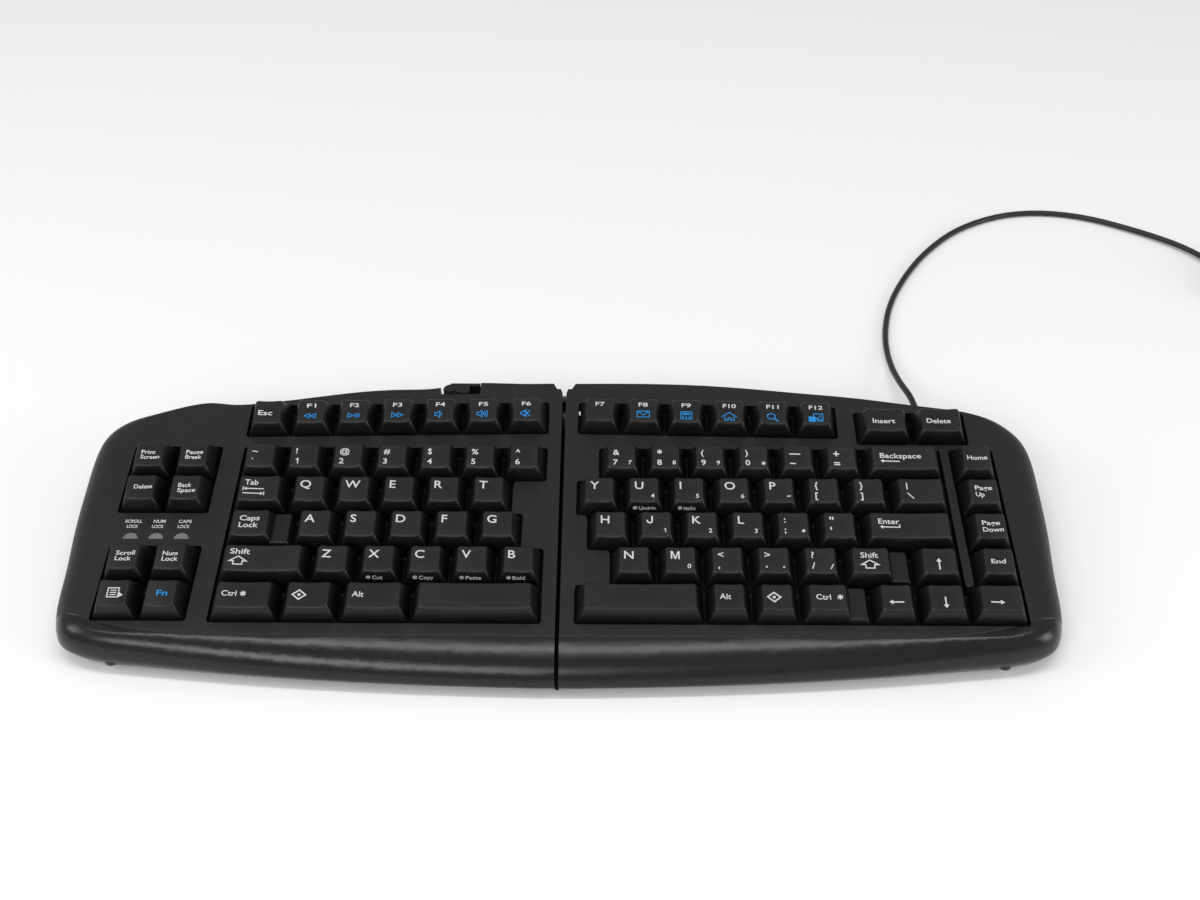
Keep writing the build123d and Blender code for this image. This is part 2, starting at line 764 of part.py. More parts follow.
def block_caps(corner):
    """Four caps in a square."""
    return [cap_at(-1, cell, side_block_heights, pitch) for cell in block_cells(corner)]


def ball_joint():
    """Jaw fixed in the left half, liner, ball, stud and the bracket of the right half."""
    x, y, z = joint
    place = Pos(x, y, z)
    room = block(-overrun, jaw_reach, -overrun, jaw_rear_cut, floor_top - z, overrun)
    jaw = Sphere(jaw_radius) & room
    x0, x1, y0, y1, height = jaw_block
    jaw += block(x0, x1, y0, y1, floor_top - z, floor_top - z + height)
    jaw += block(*jaw_lug)
    jaw -= Sphere(seat_radius)
    jaw -= block(slot_start, overrun, -overrun, 0, 0, overrun)
    save("ball_socket", place * jaw)

    mouth_reach = liner_radius * math.cos(math.radians(mouth_angle))
    mouth_radius = liner_radius * math.sin(math.radians(mouth_angle))
    cone_height = liner_radius * 2
    scale_up = cone_height / mouth_reach
    mouth = Rot(0, 90, 0) * Cone(0, mouth_radius * scale_up, cone_height)
    liner = Sphere(liner_radius) - Sphere(ball_radius + joint_clearance)
    save("socket_liner", place * (liner - Pos(cone_height / 2, 0, 0) * mouth))

    bore = bar(-overrun, overrun, 0, 0, stud_radius + joint_clearance)
    head_space = stud_head_offset - stud_head_length
    seat = bar(-overrun, -head_space, 0, 0, stud_head_radius + joint_clearance)
    save("joint_ball", place * (Sphere(ball_radius) - bore - seat))

    flange_end = stud_flange_start + stud_flange_length
    bracket_end = flange_end + bracket_thickness
    stud_end = bracket_end + stud_nut_length + stud_tail
    stud = bar(-head_space, stud_end, 0, 0, stud_radius)
    stud += bar(-stud_head_offset, -head_space, 0, 0, stud_head_radius)
    stud += bar(stud_flange_start, flange_end, 0, 0, stud_flange_radius)
    nut = Rot(0, 90, 0) * extrude(RegularPolygon(stud_nut_radius, 6), stud_nut_length)
    save("joint_stud", place * (stud + Pos(bracket_end, 0, 0) * nut))

    base = floor_top - z
    step = bracket_step - z
    foot_length = flange_end + bracket_base_length
    base_top = base + bracket_base_thickness
    bracket = block(flange_end, foot_length, -bracket_front, bracket_rear, base, base_top)
    bracket += block(flange_end, bracket_end, -bracket_front, bracket_rear, base, step)
    bracket += block(flange_end, bracket_end, -bracket_front, bracket_high_rear, step, bracket_top - z)
    hole_radius = stud_radius + joint_clearance
    bracket -= bar(flange_end - short_overrun, bracket_end + short_overrun, 0, 0, hole_radius)
    save("stud_bracket", place * bracket)


def lever():
    """Locking lever with its tab, knob, shaft and cam, and the rod from the cam to the jaw."""
    top = -lever_sink
    low = top - lever_thickness
    body = disc(0, 0, low, top, lever_hub_radius)
    x0 = lever_tab[0] - lever_pivot[0]
    x1 = lever_tab[1] - lever_pivot[0]
    y0 = lever_tab[2] - lever_pivot[1]
    y1 = lever_arm_back - lever_pivot[1]
    end = lever_arm_end - lever_pivot[0]
    arm = block(0, end, y1 - lever_arm_width, y1, low, top)
    tab = fillet(block(x0, x1, y0, y1, low, top).edges().filter_by(Axis.Z), well_corner)
    web = block(0, x0 + well_corner, -lever_hub_radius / 2, y1, low, top)
    body += arm + tab + web
    body += disc(0, 0, top, top + lever_knob_rise + lever_sink, lever_knob_radius)
    body += disc(0, 0, low - lever_shaft_length, low, lever_shaft_radius)
    cam_top = -pocket_depth - pocket_floor - lever_clearance
    cam_low = cam_top - lever_cam_thickness
    body += disc(0, 0, cam_low, cam_top, lever_cam_radius)
    save("lock_lever", on_lever(body))

    centre = on_deck(lever_pivot[0], lever_pivot[1], (cam_top + cam_low) / 2)
    start = lever_pivot[0] + lever_cam_radius + joint_clearance
    save("clamp_rod", bar(start, jaw_lug[0] - joint_clearance, centre.Y, centre.Z, rod_radius))


def indicators():
    """Lenses in the deck, and the small board with their lamps."""
    lenses = lens_bodies(0, lens_rise - lens_thickness, lens_rise)
    save("indicator_lenses", *lenses)
    middle = lens_first + lens_pitch
    length, depth, thick = lamp_board_size
    y = lens_front + lens_radius / 2
    bottom = -plate_top
    centre = y + lamp_board_shift
    board = Pos(middle, centre, bottom + thick / 2) * Box(length, depth, thick)
    lamp_top = lens_rise - lens_thickness - lamp_gap
    for number in range(3):
        board += disc(lens_first + number * lens_pitch, y, bottom + thick, lamp_top, lamp_radius)
    save("indicator_board", deck * board)


def circuit_board():
    """Board in the right half, with its chip and connectors."""
    length, depth, thick = board_size
    low = floor_top + board_lift
    y = deck_y + board_front
    board = block(board_left, board_left + length, y, y + depth, low, low + thick)
    wide, deep, tall = chip_size
    x0 = board_left + length / 2 - wide / 2
    y0 = y + depth / 2 - deep / 2
    board += block(x0, x0 + wide, y0, y0 + deep, low + thick, low + thick + tall)
    save("controller_board", board)


def links():
    """The two ends of the wires that join the halves, each with its plug on the floor."""
    y = deck_y + link_front
    for side, name in ((-1, "link_cable_left"), (1, "link_cable_right")):
        inner = half_gap + link_mouth
        ends = sorted((side * inner, side * link_reach))
        wire = bar(*ends, y, link_height, link_radius)
        x0 = side * link_reach
        x1 = side * (link_reach + link_plug_size[0])
        half = link_plug_size[1] / 2
        plug = block(min(x0, x1), max(x0, x1), y - half, y + half, floor_top, floor_top + link_plug_size[2])
        save(name, wire + plug)


def fasteners(side, name):
    """Screws and feet of one half."""
    low = floor_lift + screw_sink
    screws = []
    for x, y in screw_places(side):
        screw = disc(x, y, low, low + screw_head_height, screw_head_radius)
        screw += disc(x, y, low + screw_head_height, low + screw_length, screw_radius)
        driver = disc(x, y, low - short_overrun, low + screw_head_height / 2, screw_radius)
        screws.append(screw - driver)
    save(name + "_screws", *screws)
    feet = []
    for x, y in foot_places(side):
        foot = disc(x, y, 0, floor_lift + foot_sink, foot_radius)
        feet.append(chamfer(foot.edges().group_by(Axis.Z)[0], foot_edge))
    save(name + "_feet", *feet)


def arc_to(start, end, heading):
    """Arc that leaves start along heading and ends at end."""
    return Edge.make_tangent_arc(start, heading, end)


def tube(wire):
    """Round cable along a wire."""
    start = Plane(origin=wire @ 0, z_dir=wire % 0)
    return sweep(start * Circle(cord_diameter / 2), path=wire)


def cable():
    """Strain relief, free stretch, wound length with its tie, and plug."""
    end_y = deck_y + relief_start + relief_length
    relief = Pos(0, 0, relief_length / 2) * Cone(relief_root_radius, relief_tip_radius, relief_length)
    relief_root = Pos(0, 0, relief_straight / 2) * Cylinder(relief_root_radius, relief_straight)
    tapered = Pos(0, 0, relief_length / 2 + relief_straight / 2) * Cylinder(overrun, relief_length)
    relief = (relief & tapered) + relief_root
    relief += Pos(0, 0, -relief_flange_length / 2) * Cylinder(relief_flange_radius, relief_flange_length)
    relief = Pos(relief_x, deck_y + relief_start, relief_height) * (Rot(-90, 0, 0) * relief)
    save("strain_relief", relief)

    route = [Vector(relief_x, end_y, relief_height)]
    route += [Vector(x, deck_y + y, z) for x, y, z in cord_route]
    coil_x = coil_centre[0] - coil_radius
    coil_y = deck_y + coil_centre[1]
    base = cord_diameter / 2 + coil_lift
    lead = cord_diameter
    route += [Vector(coil_x, coil_y + lead + step, base) for step in cord_last_runs]
    radii = []
    for before, here, after in zip(route, route[1:], route[2:]):
        turn = (here - before).get_angle(after - here)
        shorter = min((here - before).length, (after - here).length)
        radii.append(tangent_share * shorter / math.tan(math.radians(turn / 2)))
        run = (here - before).length
        print("turn", round(turn, 1), "radius", round(radii[-1], 1), "run", round(run, 1))
    path = FilletPolyline(*route, radius=radii)
    free = tube(path)
    cord_section = math.pi * cord_diameter ** 2 / 4
    ratio = free.volume / (cord_section * path.length)
    print("free length", round(path.length, 1), "ratio", round(ratio, 5))
    save("usb_cable", free)

    step = coil_pitch / 2
    stations = []
    radius = coil_radius
    height = base
    for level in range(coil_layers):
        inward = -1 if level % 2 == 0 else 1
        for half in range(coil_half_turns):
            stations.append((radius, height))
            radius += inward * step
        stations.append((radius, height))
        height += coil_pitch
    edges = [Line((coil_x, coil_y + lead, base), (coil_x, coil_y, base)).edge()]
    points = []
    for number, (reach, level) in enumerate(stations):
        away = -1 if number % 2 == 0 else 1
        points.append(Vector(coil_centre[0] + away * reach, coil_y, level))
    for number, (start, end) in enumerate(zip(points, points[1:])):
        heading = Vector(0, -1 if number % 2 == 0 else 1, 0)
        middle = (start + end) / 2 + heading * ((end - start).length / 2)
        edges += [arc_to(start, middle, heading), arc_to(middle, end, end - start)]
    last = points[-1]
    rear = Vector(0, 1, 0)
    foot = Vector(last.X, last.Y + coil_end_drop_length, coil_end_height)
    half_way = (last + foot) / 2
    edges += [arc_to(last, half_way, rear)]
    edges += [arc_to(half_way, foot, edges[-1] % 1)]
    plug_start = foot + rear * lead
    edges += [Line(foot, plug_start).edge()]
    wire = Wire(edges)
    coil = tube(wire)
    ratio = coil.volume / (cord_section * wire.length)
    print("coil length", round(wire.length, 1), "ratio", round(ratio, 5))
    print("half turns", len(points) - 1, "least gap", round(least_gap(wire), 2))
    print("cable length", round(relief_length + path.length + wire.length, 1))
    save("cable_coil", coil)

    out = coil_radius + cord_diameter / 2 - step / 2
    inside = coil_radius - coil_half_turns * step - cord_diameter / 2 - tie_curve_allowance
    top = base + (coil_layers - 1) * coil_pitch + cord_diameter / 2
    reach = tie_clearance + tie_thickness
    bore = (-out - tie_clearance, -inside + tie_clearance, tie_thickness, top + tie_clearance)
    space = block(-tie_width, tie_width, *bore)
    tie = block(-tie_width / 2, tie_width / 2, -out - reach, -inside + reach, 0, top + reach)
    save("coil_tie", Pos(coil_centre[0], coil_y, 0) * (tie - space))
    plug(plug_start)


def least_gap(wire):
    """Least gap between parts of the wound cable that are not neighbours along it."""
    count = round(wire.length / coil_sample)
    points = [wire @ (number / count) for number in range(count + 1)]
    skip = round(math.pi * cord_diameter * 2 / coil_sample)
    least = overrun
    for number, point in enumerate(points):
        for other in points[number + skip:]:
            if abs(point.X - other.X) < coil_pitch * 2 and abs(point.Y - other.Y) < coil_pitch * 2:
                least = min(least, (point - other).length)
    return least - cord_diameter


def plug(start):
    """Moulded plug body and its metal shell."""
    wide, long, tall = plug_body_size
    body = Pos(0, long / 2, 0) * Box(wide, long, tall)
    body = fillet(body.edges().filter_by(Axis.Y), plug_body_corner)
    tongue_wide, tongue_long, tongue_tall = plug_tongue_size
    shell_wide, shell_long, shell_tall = plug_shell_size
    inner_wide = shell_wide - 2 * plug_shell_wall
    inner_tall = shell_tall - 2 * plug_shell_wall
    y = long + tongue_long / 2
    lift = inner_tall / 2 - tongue_tall / 2
    tongue = Pos(0, y, lift - joint_clearance) * Box(min(tongue_wide, inner_wide), tongue_long, tongue_tall)
    place = Pos(start.X, start.Y, start.Z)
    save("usb_plug_body", place * (body + tongue))
    shell = Pos(0, long + shell_long / 2, 0) * Box(shell_wide, shell_long, shell_tall)
    shell -= Pos(0, long + shell_long / 2, 0) * Box(inner_wide, shell_long, inner_tall)
    for end in (-1, 1):
        window = Box(plug_window_size, plug_window_size, shell_tall)
        shell -= Pos(end * shell_wide / 4, long + shell_long / 2, -shell_tall / 2) * window
    save("usb_plug_shell", place * shell)


for side, name in ((-1, "left"), (1, "right")):
    outer = case_body(side, 0, half_gap, 0, floor_lift)
    envelope = stack_envelope(side)
    save(name + "_top_case", top_case(side, outer))
    save(name + "_bottom_case", bottom_case(side, outer))
    save(name + "_key_plate", key_plate(side, envelope))
    save(name + "_dome_sheet", dome_sheet(side, envelope))
    save(name + "_sensor_plate", sensor_plate(side, envelope))
    fasteners(side, name)

save("number_keys_left", *row_caps(-1, 4, 0, 7))
save("tab_key", *row_caps(-1, 3, 0, 1))
save("qwert_keys", *row_caps(-1, 3, 1, 6))
save("caps_lock_key", *row_caps(-1, 2, 0, 1, True))
save("asdfg_keys", *row_caps(-1, 2, 1, 6))
save("left_shift_key", *row_caps(-1, 1, 0, 1))
save("zxcvb_keys", *row_caps(-1, 1, 1, 6))
save("left_ctrl_key", *row_caps(-1, 0, 0, 1))
save("left_os_alt_keys", *row_caps(-1, 0, 1, 3))
save("left_space_key", *row_caps(-1, 0, 3, 4))
save("number_keys_right", *row_caps(1, 4, 0, 6))
save("backspace_key", *row_caps(1, 4, 6, 7))
save("yuiop_keys", *row_caps(1, 3, 0, 7))
save("backslash_key", *row_caps(1, 3, 7, 8))
save("hjkl_keys", *row_caps(1, 2, 0, 6))
save("enter_key", *row_caps(1, 2, 6, 7))
save("nm_keys", *row_caps(1, 1, 0, 5))
save("right_shift_key", *row_caps(1, 1, 5, 6, True))
save("right_space_key", *row_caps(1, 0, 0, 1))
save("right_alt_os_keys", *row_caps(1, 0, 1, 3))
save("right_ctrl_key", *row_caps(1, 0, 3, 4, True))
right_arrow = (right_field_edge, 0, nav_right - right_field_edge, pitch)
arrow_caps = row_caps(1, 1, 6, 7) + row_caps(1, 0, 4, 6)
save("arrow_keys", *arrow_caps, cap_at(1, right_arrow, bottom_row_heights, half_width))
nav_cells = [(nav_left, row * pitch, nav_width, pitch) for row in range(1, main_rows)]
save("nav_keys", *[cap_at(1, cell, row_heights[row + 1], half_width) for row, cell in enumerate(nav_cells)])
insert_caps = [cap_at(1, cell, function_row_heights, half_width) for cell in insert_cells()]
save("insert_delete_keys", *insert_caps)
save("function_keys_left", *function_caps(-1))
save("function_keys_right", *function_caps(1))
save("side_keys_upper", *block_caps(side_upper))
save("side_keys_lower", *block_caps(side_lower))

ball_joint()
lever()
indicators()
circuit_board()
links()
cable()
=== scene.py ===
import functools
import math

import bmesh
import bpy
import numpy as np
from mathutils import Matrix, Vector
from mathutils.geometry import tessellate_polygon


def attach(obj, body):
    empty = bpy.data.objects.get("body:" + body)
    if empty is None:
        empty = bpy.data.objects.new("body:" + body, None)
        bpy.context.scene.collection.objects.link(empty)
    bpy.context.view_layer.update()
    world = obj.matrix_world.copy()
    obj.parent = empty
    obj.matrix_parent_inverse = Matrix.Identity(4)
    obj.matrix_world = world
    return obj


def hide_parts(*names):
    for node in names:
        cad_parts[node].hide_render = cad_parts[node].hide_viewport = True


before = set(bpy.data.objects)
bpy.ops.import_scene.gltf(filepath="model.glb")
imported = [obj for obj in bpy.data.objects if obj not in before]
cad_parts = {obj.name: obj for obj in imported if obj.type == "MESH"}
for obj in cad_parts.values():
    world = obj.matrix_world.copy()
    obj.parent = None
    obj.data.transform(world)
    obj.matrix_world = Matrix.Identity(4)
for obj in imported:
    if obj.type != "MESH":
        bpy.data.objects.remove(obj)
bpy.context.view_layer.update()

bl_info = {
    "name": "Split Keyboard",
    "version": (1, 0, 0),
    "blender": (4, 5, 0),
    "location": "View3D > Sidebar > Keyboard",
    "description": "Caps, prints, cable and finishes of a keyboard in two joined halves",
    "category": "Object",
}

# Lengths are in millimetres up to the point where a mesh is made. The deck frame has its origin on the
# sloping top surface, on the split, at the front edge of the main key field.
MM = 0.001
PITCH = 19.05
DECK_TILT = math.radians(5.5)
DECK_HEIGHT = 18.75
DECK_Y = -58.04
LEFT_EDGE = -140.2
RIGHT_START = 6.85
RIGHT_EDGE = 165.65
NAV_LEFT = 169.95
NAV_WIDTH = 18.9
STEP_WIDTH = 21.8
STEP_TOP = 2.2
STEP_INSET = 0.02

# Function row: width and number of its caps in the left (-1) and the right (1) half, place of its front edge
# and its turn in degrees
FUNCTION_WIDTHS = {-1: 19.15, 1: 19.2}
FUNCTION_COUNTS = {-1: 7, 1: 6}
FUNCTION_Y = 104.6
FUNCTION_TURN = 1.12

# Caps: the gap between neighbours, the level of the foot, the thickness of the walls, how far the ceiling
# lies below the top, the slopes of the faces, the radii of the corners at foot and head, the depth of the
# trough in the top, the radius of the upper edge and the inset of the foot
CAP_GAP = 0.9
CAP_FOOT = -1.5
CAP_WALL = 1.3
CAP_CEILING = 4.4
SIDE_SLOPE = 0.35
FRONT_SLOPE = 0.15
REAR_SLOPE = 0.45
FOOT_RADIUS = 0.8
HEAD_RADIUS = 1.5
DISH = 0.6
EDGE = 0.55
FOOT_INSET = 0.12
# Plungers: width and lower end. A cap wider than LONG_KEY has two more, so far from its ends.
PLUNGER = 3.8
PLUNGER_END = -9.35
LONG_KEY = 34.0
LONG_KEY_POST = 9.5
# Heights of the top over the deck at the front and rear, and the order of the main rows
HEIGHTS = {
    "bottom": (7.4, 8.1), "lower": (7.0, 8.2), "home": (6.6, 8.0), "upper": (6.8, 8.3),
    "number": (7.0, 8.7), "function": (7.2, 8.9), "side": (7.2, 8.5),
}
ROWS = ("bottom", "lower", "home", "upper", "number")
# Rings of a cap: shares of the ceiling's size inside, angles over the rounded edge, shares of the top's size
CEILING_RINGS = (0.02, 0.6, 1.0)
EDGE_RINGS = (22.5, 45.0, 67.5, 90.0)
TOP_RINGS = (0.93, 0.78, 0.55, 0.3, 0.02)

# Prints: half their thickness, the height of a capital in the font, how much wider than the font they are,
# how much the font is thickened for large and small letters, how far the signs of the function row lie below
# the edge of the cap, and the widths of the words on front faces and on the function row
PRINT_DEPTH = 0.05
CAPITAL = 0.682
SPREAD = 1.12
WEIGHT = 0.010
HEAVY = 0.014
SIGN_DROP = 6.5
FRONT_WORDS = {"Cut": 4.2, "Copy": 5.9, "Paste": 6.3, "Bold": 5.1, "Undrln": 7.2, "Italic": 5.0}
FUNCTION_WORDS = {"Esc": 6.2, "F10": 5.8, "F11": 5.5, "F12": 6.1}
# Words over the indicators: text, left end and foot in the deck frame, and width
DECK_WORDS = (
    ("SCROLL", -184.0, 53.2, 7.2), ("LOCK", -182.8, 50.4, 4.8), ("NUM", -172.0, 53.2, 5.0),
    ("LOCK", -172.1, 50.4, 4.9), ("CAPS", -161.4, 53.2, 5.5), ("LOCK", -161.3, 50.4, 5.1),
)
DECK_WORD_HEIGHT = 1.7

# Cable route behind the strain relief, as in the solid: x, y from the front of the key field, z. The length
# and the diameter are in metres.
CORD_EXIT = (165.0, 138.4, 11.0)
CORD_ROUTE = (
    (165.0, 150.0, 11.0), (161.0, 168.0, 7.6), (159.6, 189.0, 3.0), (160.4, 212.0, 1.5), (166.0, 238.0, 1.5),
    (177.0, 263.0, 1.5), (193.0, 289.0, 1.5), (216.0, 313.5, 1.5), (248.0, 328.5, 1.5), (282.0, 326.5, 1.6),
    (313.0, 310.0, 1.9), (338.0, 291.0, 2.3), (352.0, 267.0, 2.6), (352.0, 253.0, 2.6),
)
CORD_DIAMETER = 0.003

# Coil of the cable: its centre, the radius of its outer turn, the distance between neighbouring turns and
# layers, the number of layers, the half turns in each, the height of the lowest layer, the points to a half
# turn, the length of the straight end that runs down to the plug, and the height of the plug
COIL_CENTRE = (374.4, 250.0)
COIL_RADIUS = 22.4
COIL_PITCH = 4.1
COIL_LAYERS = 4
COIL_HALF_TURNS = 6
COIL_BASE = 2.6
COIL_POINTS = 12
COIL_DROP = 40.0
COIL_END_HEIGHT = 4.2
# The straight end as shares of its length, with the share of the way down at each
COIL_END = ((0.25, 0.0), (0.75, 1.0), (1.0, 1.0), (1.0 + 3.0 / COIL_DROP, 1.0))

# Crease between the flat deck and the front roll, in metres: its place in Y, the X where it starts to bend
# to the rear, the sharpness of the bend, and half its width and its depth
CREASE_Y = -0.0642
CREASE_BEND = 0.140
CREASE_CURVE = 3.3
CREASE_WIDTH = 0.0003
CREASE_DEPTH = 0.00022

# Dark strip in the split: painted shade for the shadow under the keyboard that is seen through the gap. In the
# deck frame: its ends in y, its wall side and its lip in x, its height, thickness and number of stations
SHADE_STRIP_ENDS = (-22.4, 112.0)
SHADE_STRIP_SIDES = (0.95, -0.70)
SHADE_STRIP_LEVEL = -13.2
SHADE_STRIP_THICK = 1.4
SHADE_STRIP_STATIONS = 25

# Camera: place in metres, focal length and sensor in millimetres, angle below the horizon and turn in degrees
CAMERA_PLACE = (0.01983, -0.47196, 0.47777)
CAMERA_LENS = 46.16
CAMERA_SENSOR = 36.0
CAMERA_DOWN = 41.52
CAMERA_TURN = 0.381

# Lamps: place, width and height in metres, and power in watts. Each faces the origin.
LAMPS = {
    "Overhead lamp": ((0.0, 0.02, 1.6), (1.7, 0.16), 9.5),
    "Front lamp": ((-0.5, -1.2, 1.0), (0.9, 0.5), 8.0),
    "Right lamp": ((1.3, -0.35, 0.45), (0.5, 0.6), 4.5),
    "Left lamp": ((-1.3, -0.2, 0.8), (0.5, 0.5), 3.5),
}
TABLE_HALF = 3.0
TABLE_LEVEL = -0.0002


class KeyboardLook(bpy.types.PropertyGroup):
    """Colours and sizes that change the look of the keyboard."""
    case_colour: bpy.props.FloatVectorProperty(
        name="Case", description="Colour of the moulded case", subtype="COLOR", size=3,
        default=(0.0082, 0.0076, 0.0066), min=0, max=1)
    cap_colour: bpy.props.FloatVectorProperty(
        name="Caps", description="Colour of the key caps", subtype="COLOR", size=3,
        default=(0.0068, 0.0065, 0.0065), min=0, max=1)
    print_colour: bpy.props.FloatVectorProperty(
        name="Prints", description="Colour of the letters", subtype="COLOR", size=3,
        default=(0.60, 0.60, 0.59), min=0, max=1)
    icon_colour: bpy.props.FloatVectorProperty(
        name="Function signs", description="Colour of the second signs on the function row",
        subtype="COLOR", size=3, default=(0.002, 0.235, 0.62), min=0, max=1)
    lens_colour: bpy.props.FloatVectorProperty(
        name="Lenses", description="Colour of the indicator lenses", subtype="COLOR", size=3,
        default=(0.16, 0.16, 0.155), min=0, max=1)
    cord_colour: bpy.props.FloatVectorProperty(
        name="Cable", description="Colour of the cable's jacket", subtype="COLOR", size=3,
        default=(0.012, 0.012, 0.012), min=0, max=1)
    floor_colour: bpy.props.FloatVectorProperty(
        name="Table", description="Colour of the surface below", subtype="COLOR", size=3,
        default=(0.93, 0.93, 0.93), min=0, max=1)
    grain: bpy.props.FloatProperty(
        name="Grain", description="Size of the moulded grain", subtype="DISTANCE", unit="LENGTH",
        default=0.00035, min=0.0001, max=0.002)
    light: bpy.props.FloatProperty(
        name="Light", description="Strength of the surroundings", subtype="FACTOR",
        default=0.45, min=0, max=2)


def look():
    return bpy.context.scene.keyboard_look


def on_deck(points):
    """Points of the deck frame, in the frame of the keyboard and in metres."""
    points = np.asarray(points, float)
    x, y, z = points[..., 0], points[..., 1], points[..., 2]
    cos, sin = math.cos(DECK_TILT), math.sin(DECK_TILT)
    return np.stack([x, DECK_Y + y * cos - z * sin, DECK_HEIGHT + y * sin + z * cos], -1) * MM


def ring_quads(rings, around):
    """Quads between neighbouring closed rings with the same number of points."""
    start = np.arange(rings - 1)[:, None] * around
    here = np.arange(around)[None, :]
    after = (here + 1) % around
    quads = np.stack([start + here, start + after, start + around + after, start + around + here], -1)
    return quads.reshape(-1, 4)


def gather(parts):
    """Joins parts, each given as points and a list of face arrays, into one such pair."""
    points, faces, first = [], [], 0
    for place, groups in parts:
        points.append(place)
        faces += [np.asarray(group) + first for group in groups]
        first += len(place)
    return np.concatenate(points), faces


def add_mesh(name, points, faces, material, smooth=True, sharp=None):
    """Makes an object at the origin from points in metres and a list of face arrays."""
    mesh = bpy.data.meshes.new(name)
    lists = [face for group in faces for face in np.asarray(group).tolist()]
    mesh.from_pydata(np.asarray(points).reshape(-1, 3).tolist(), [], lists)
    mesh.update()
    if smooth:
        mesh.shade_smooth()
        if sharp:
            mesh.set_sharp_from_angle(angle=math.radians(sharp))
    mesh.materials.append(material)
    piece = bpy.data.objects.new(name, mesh)
    bpy.context.scene.collection.objects.link(piece)
    return piece


# Finishes
class Nodes:
    """Builds a material's node tree step by step."""

    def __init__(self, name):
        self.material = bpy.data.materials.get(name) or bpy.data.materials.new(name)
        self.material.use_nodes = True
        self.tree = self.material.node_tree
        self.tree.nodes.clear()
        self.shader = self.add("BsdfPrincipled")
        self.link(self.shader.outputs[0], self.add("OutputMaterial").inputs[0])

    def add(self, kind, **values):
        """A new node, with values on its inputs. In their names a space is written as an underscore."""
        node = self.tree.nodes.new("ShaderNode" + kind)
        for key, value in values.items():
            node.inputs[key.replace("_", " ")].default_value = value
        return node

    def link(self, source, target):
        self.tree.links.new(source, target)

    def feed(self, **sources):
        """Links or sets inputs of the shader."""
        for key, source in sources.items():
            target = self.shader.inputs[key.replace("_", " ")]
            if isinstance(source, float):
                target.default_value = source
            else:
                self.link(source, target)

    def place(self):
        return self.add("TexCoord").outputs["Object"]

    def noise(self, scale, detail=2.0, roughness=0.5, where=None):
        """Noise over the Object coordinates, so many grains to the metre."""
        node = self.add("TexNoise", Scale=scale, Detail=detail, Roughness=roughness)
        self.link(where or self.place(), node.inputs["Vector"])
        return node.outputs["Fac"]

    def ramp(self, source, low, high, start=0.3, end=0.7):
        """Maps a value between two places to a value or colour between low and high."""
        if isinstance(low, float):
            node = self.add("MapRange", From_Min=start, From_Max=end, To_Min=low, To_Max=high)
            self.link(source, node.inputs["Value"])
            return node.outputs["Result"]
        node = self.add("ValToRGB")
        for element, position, colour in zip(node.color_ramp.elements, (start, end), (low, high)):
            element.position = position
            element.color = (*colour, 1)
        self.link(source, node.inputs["Fac"])
        return node.outputs["Color"]

    def clouds(self, scale, colour, low, high):
        """Soft clouds of a colour between two shares of it."""
        return self.ramp(self.noise(scale), shade(colour, low), shade(colour, high))

    def bump(self, height, strength, distance, under=None):
        node = self.add("Bump", Strength=strength, Distance=distance)
        self.link(height, node.inputs["Height"])
        if under:
            self.link(under, node.inputs["Normal"])
        return node.outputs["Normal"]

    def math(self, kind, first, second):
        node = self.add("Math")
        node.operation = kind
        for place, value in enumerate((first, second)):
            if isinstance(value, (int, float)):
                node.inputs[place].default_value = value
            else:
                self.link(value, node.inputs[place])
        return node.outputs[0]


def shade(colour, share):
    return tuple(min(part * share, 1.0) for part in colour)


def roll_mask(nodes):
    """1 in front of the crease between the flat deck and the front roll, and 0 behind it. The crease is
    straight in the middle, and bends to the rear towards the sides with the square of the distance."""
    parts = nodes.add("SeparateXYZ")
    nodes.link(nodes.place(), parts.inputs[0])
    outward = nodes.math("SUBTRACT", nodes.math("ABSOLUTE", parts.outputs["X"], 0.0), CREASE_BEND)
    outward = nodes.math("MAXIMUM", outward, 0.0)
    line = nodes.math("MULTIPLY", nodes.math("MULTIPLY", outward, outward), CREASE_CURVE)
    ahead = nodes.math("SUBTRACT", nodes.math("ADD", line, CREASE_Y), parts.outputs["Y"])
    return nodes.ramp(ahead, 0.0, 1.0, -CREASE_WIDTH, CREASE_WIDTH)


def moulded(name, colour, grain, rough, depth, gloss=0.5, worn=None, polish=None):
    """Moulded plastic: a fine even grain in the mould, faint clouds in colour and gloss, and dust in the
    grain. worn is how much smoother it is where the attribute wear is 1, and polish is the same for the
    front roll."""
    nodes = Nodes(name)
    fine = nodes.noise(1 / grain, 3.0, 0.55)
    coarse = nodes.noise(28.0, 3.0, 0.6)
    speck = nodes.noise(0.45 / grain, 1.0, 0.4)
    tint = nodes.add("Mix")
    tint.data_type = "RGBA"
    tint.blend_type = "MULTIPLY"
    tint.inputs["Factor"].default_value = 1.0
    nodes.link(nodes.ramp(coarse, shade(colour, 0.90), shade(colour, 1.12)), tint.inputs["A"])
    nodes.link(nodes.ramp(speck, (0.86, 0.86, 0.86), (1.14, 1.13, 1.11), 0.35, 0.68), tint.inputs["B"])
    gloss_level = nodes.ramp(coarse, rough - 0.03, rough + 0.04)
    normal = nodes.bump(fine, depth, grain * 0.35)
    if worn:
        wear = nodes.add("Attribute")
        wear.attribute_name = "wear"
        gloss_level = nodes.math("SUBTRACT", gloss_level, nodes.math("MULTIPLY", wear.outputs["Fac"], worn))
    if polish:
        ahead = roll_mask(nodes)
        gloss_level = nodes.math("SUBTRACT", gloss_level, nodes.math("MULTIPLY", ahead, polish))
        normal = nodes.bump(ahead, 1.0, -CREASE_DEPTH, normal)
    nodes.feed(Base_Color=tint.outputs["Result"], Roughness=gloss_level, Normal=normal)
    nodes.feed(Specular_IOR_Level=gloss, IOR=1.5)


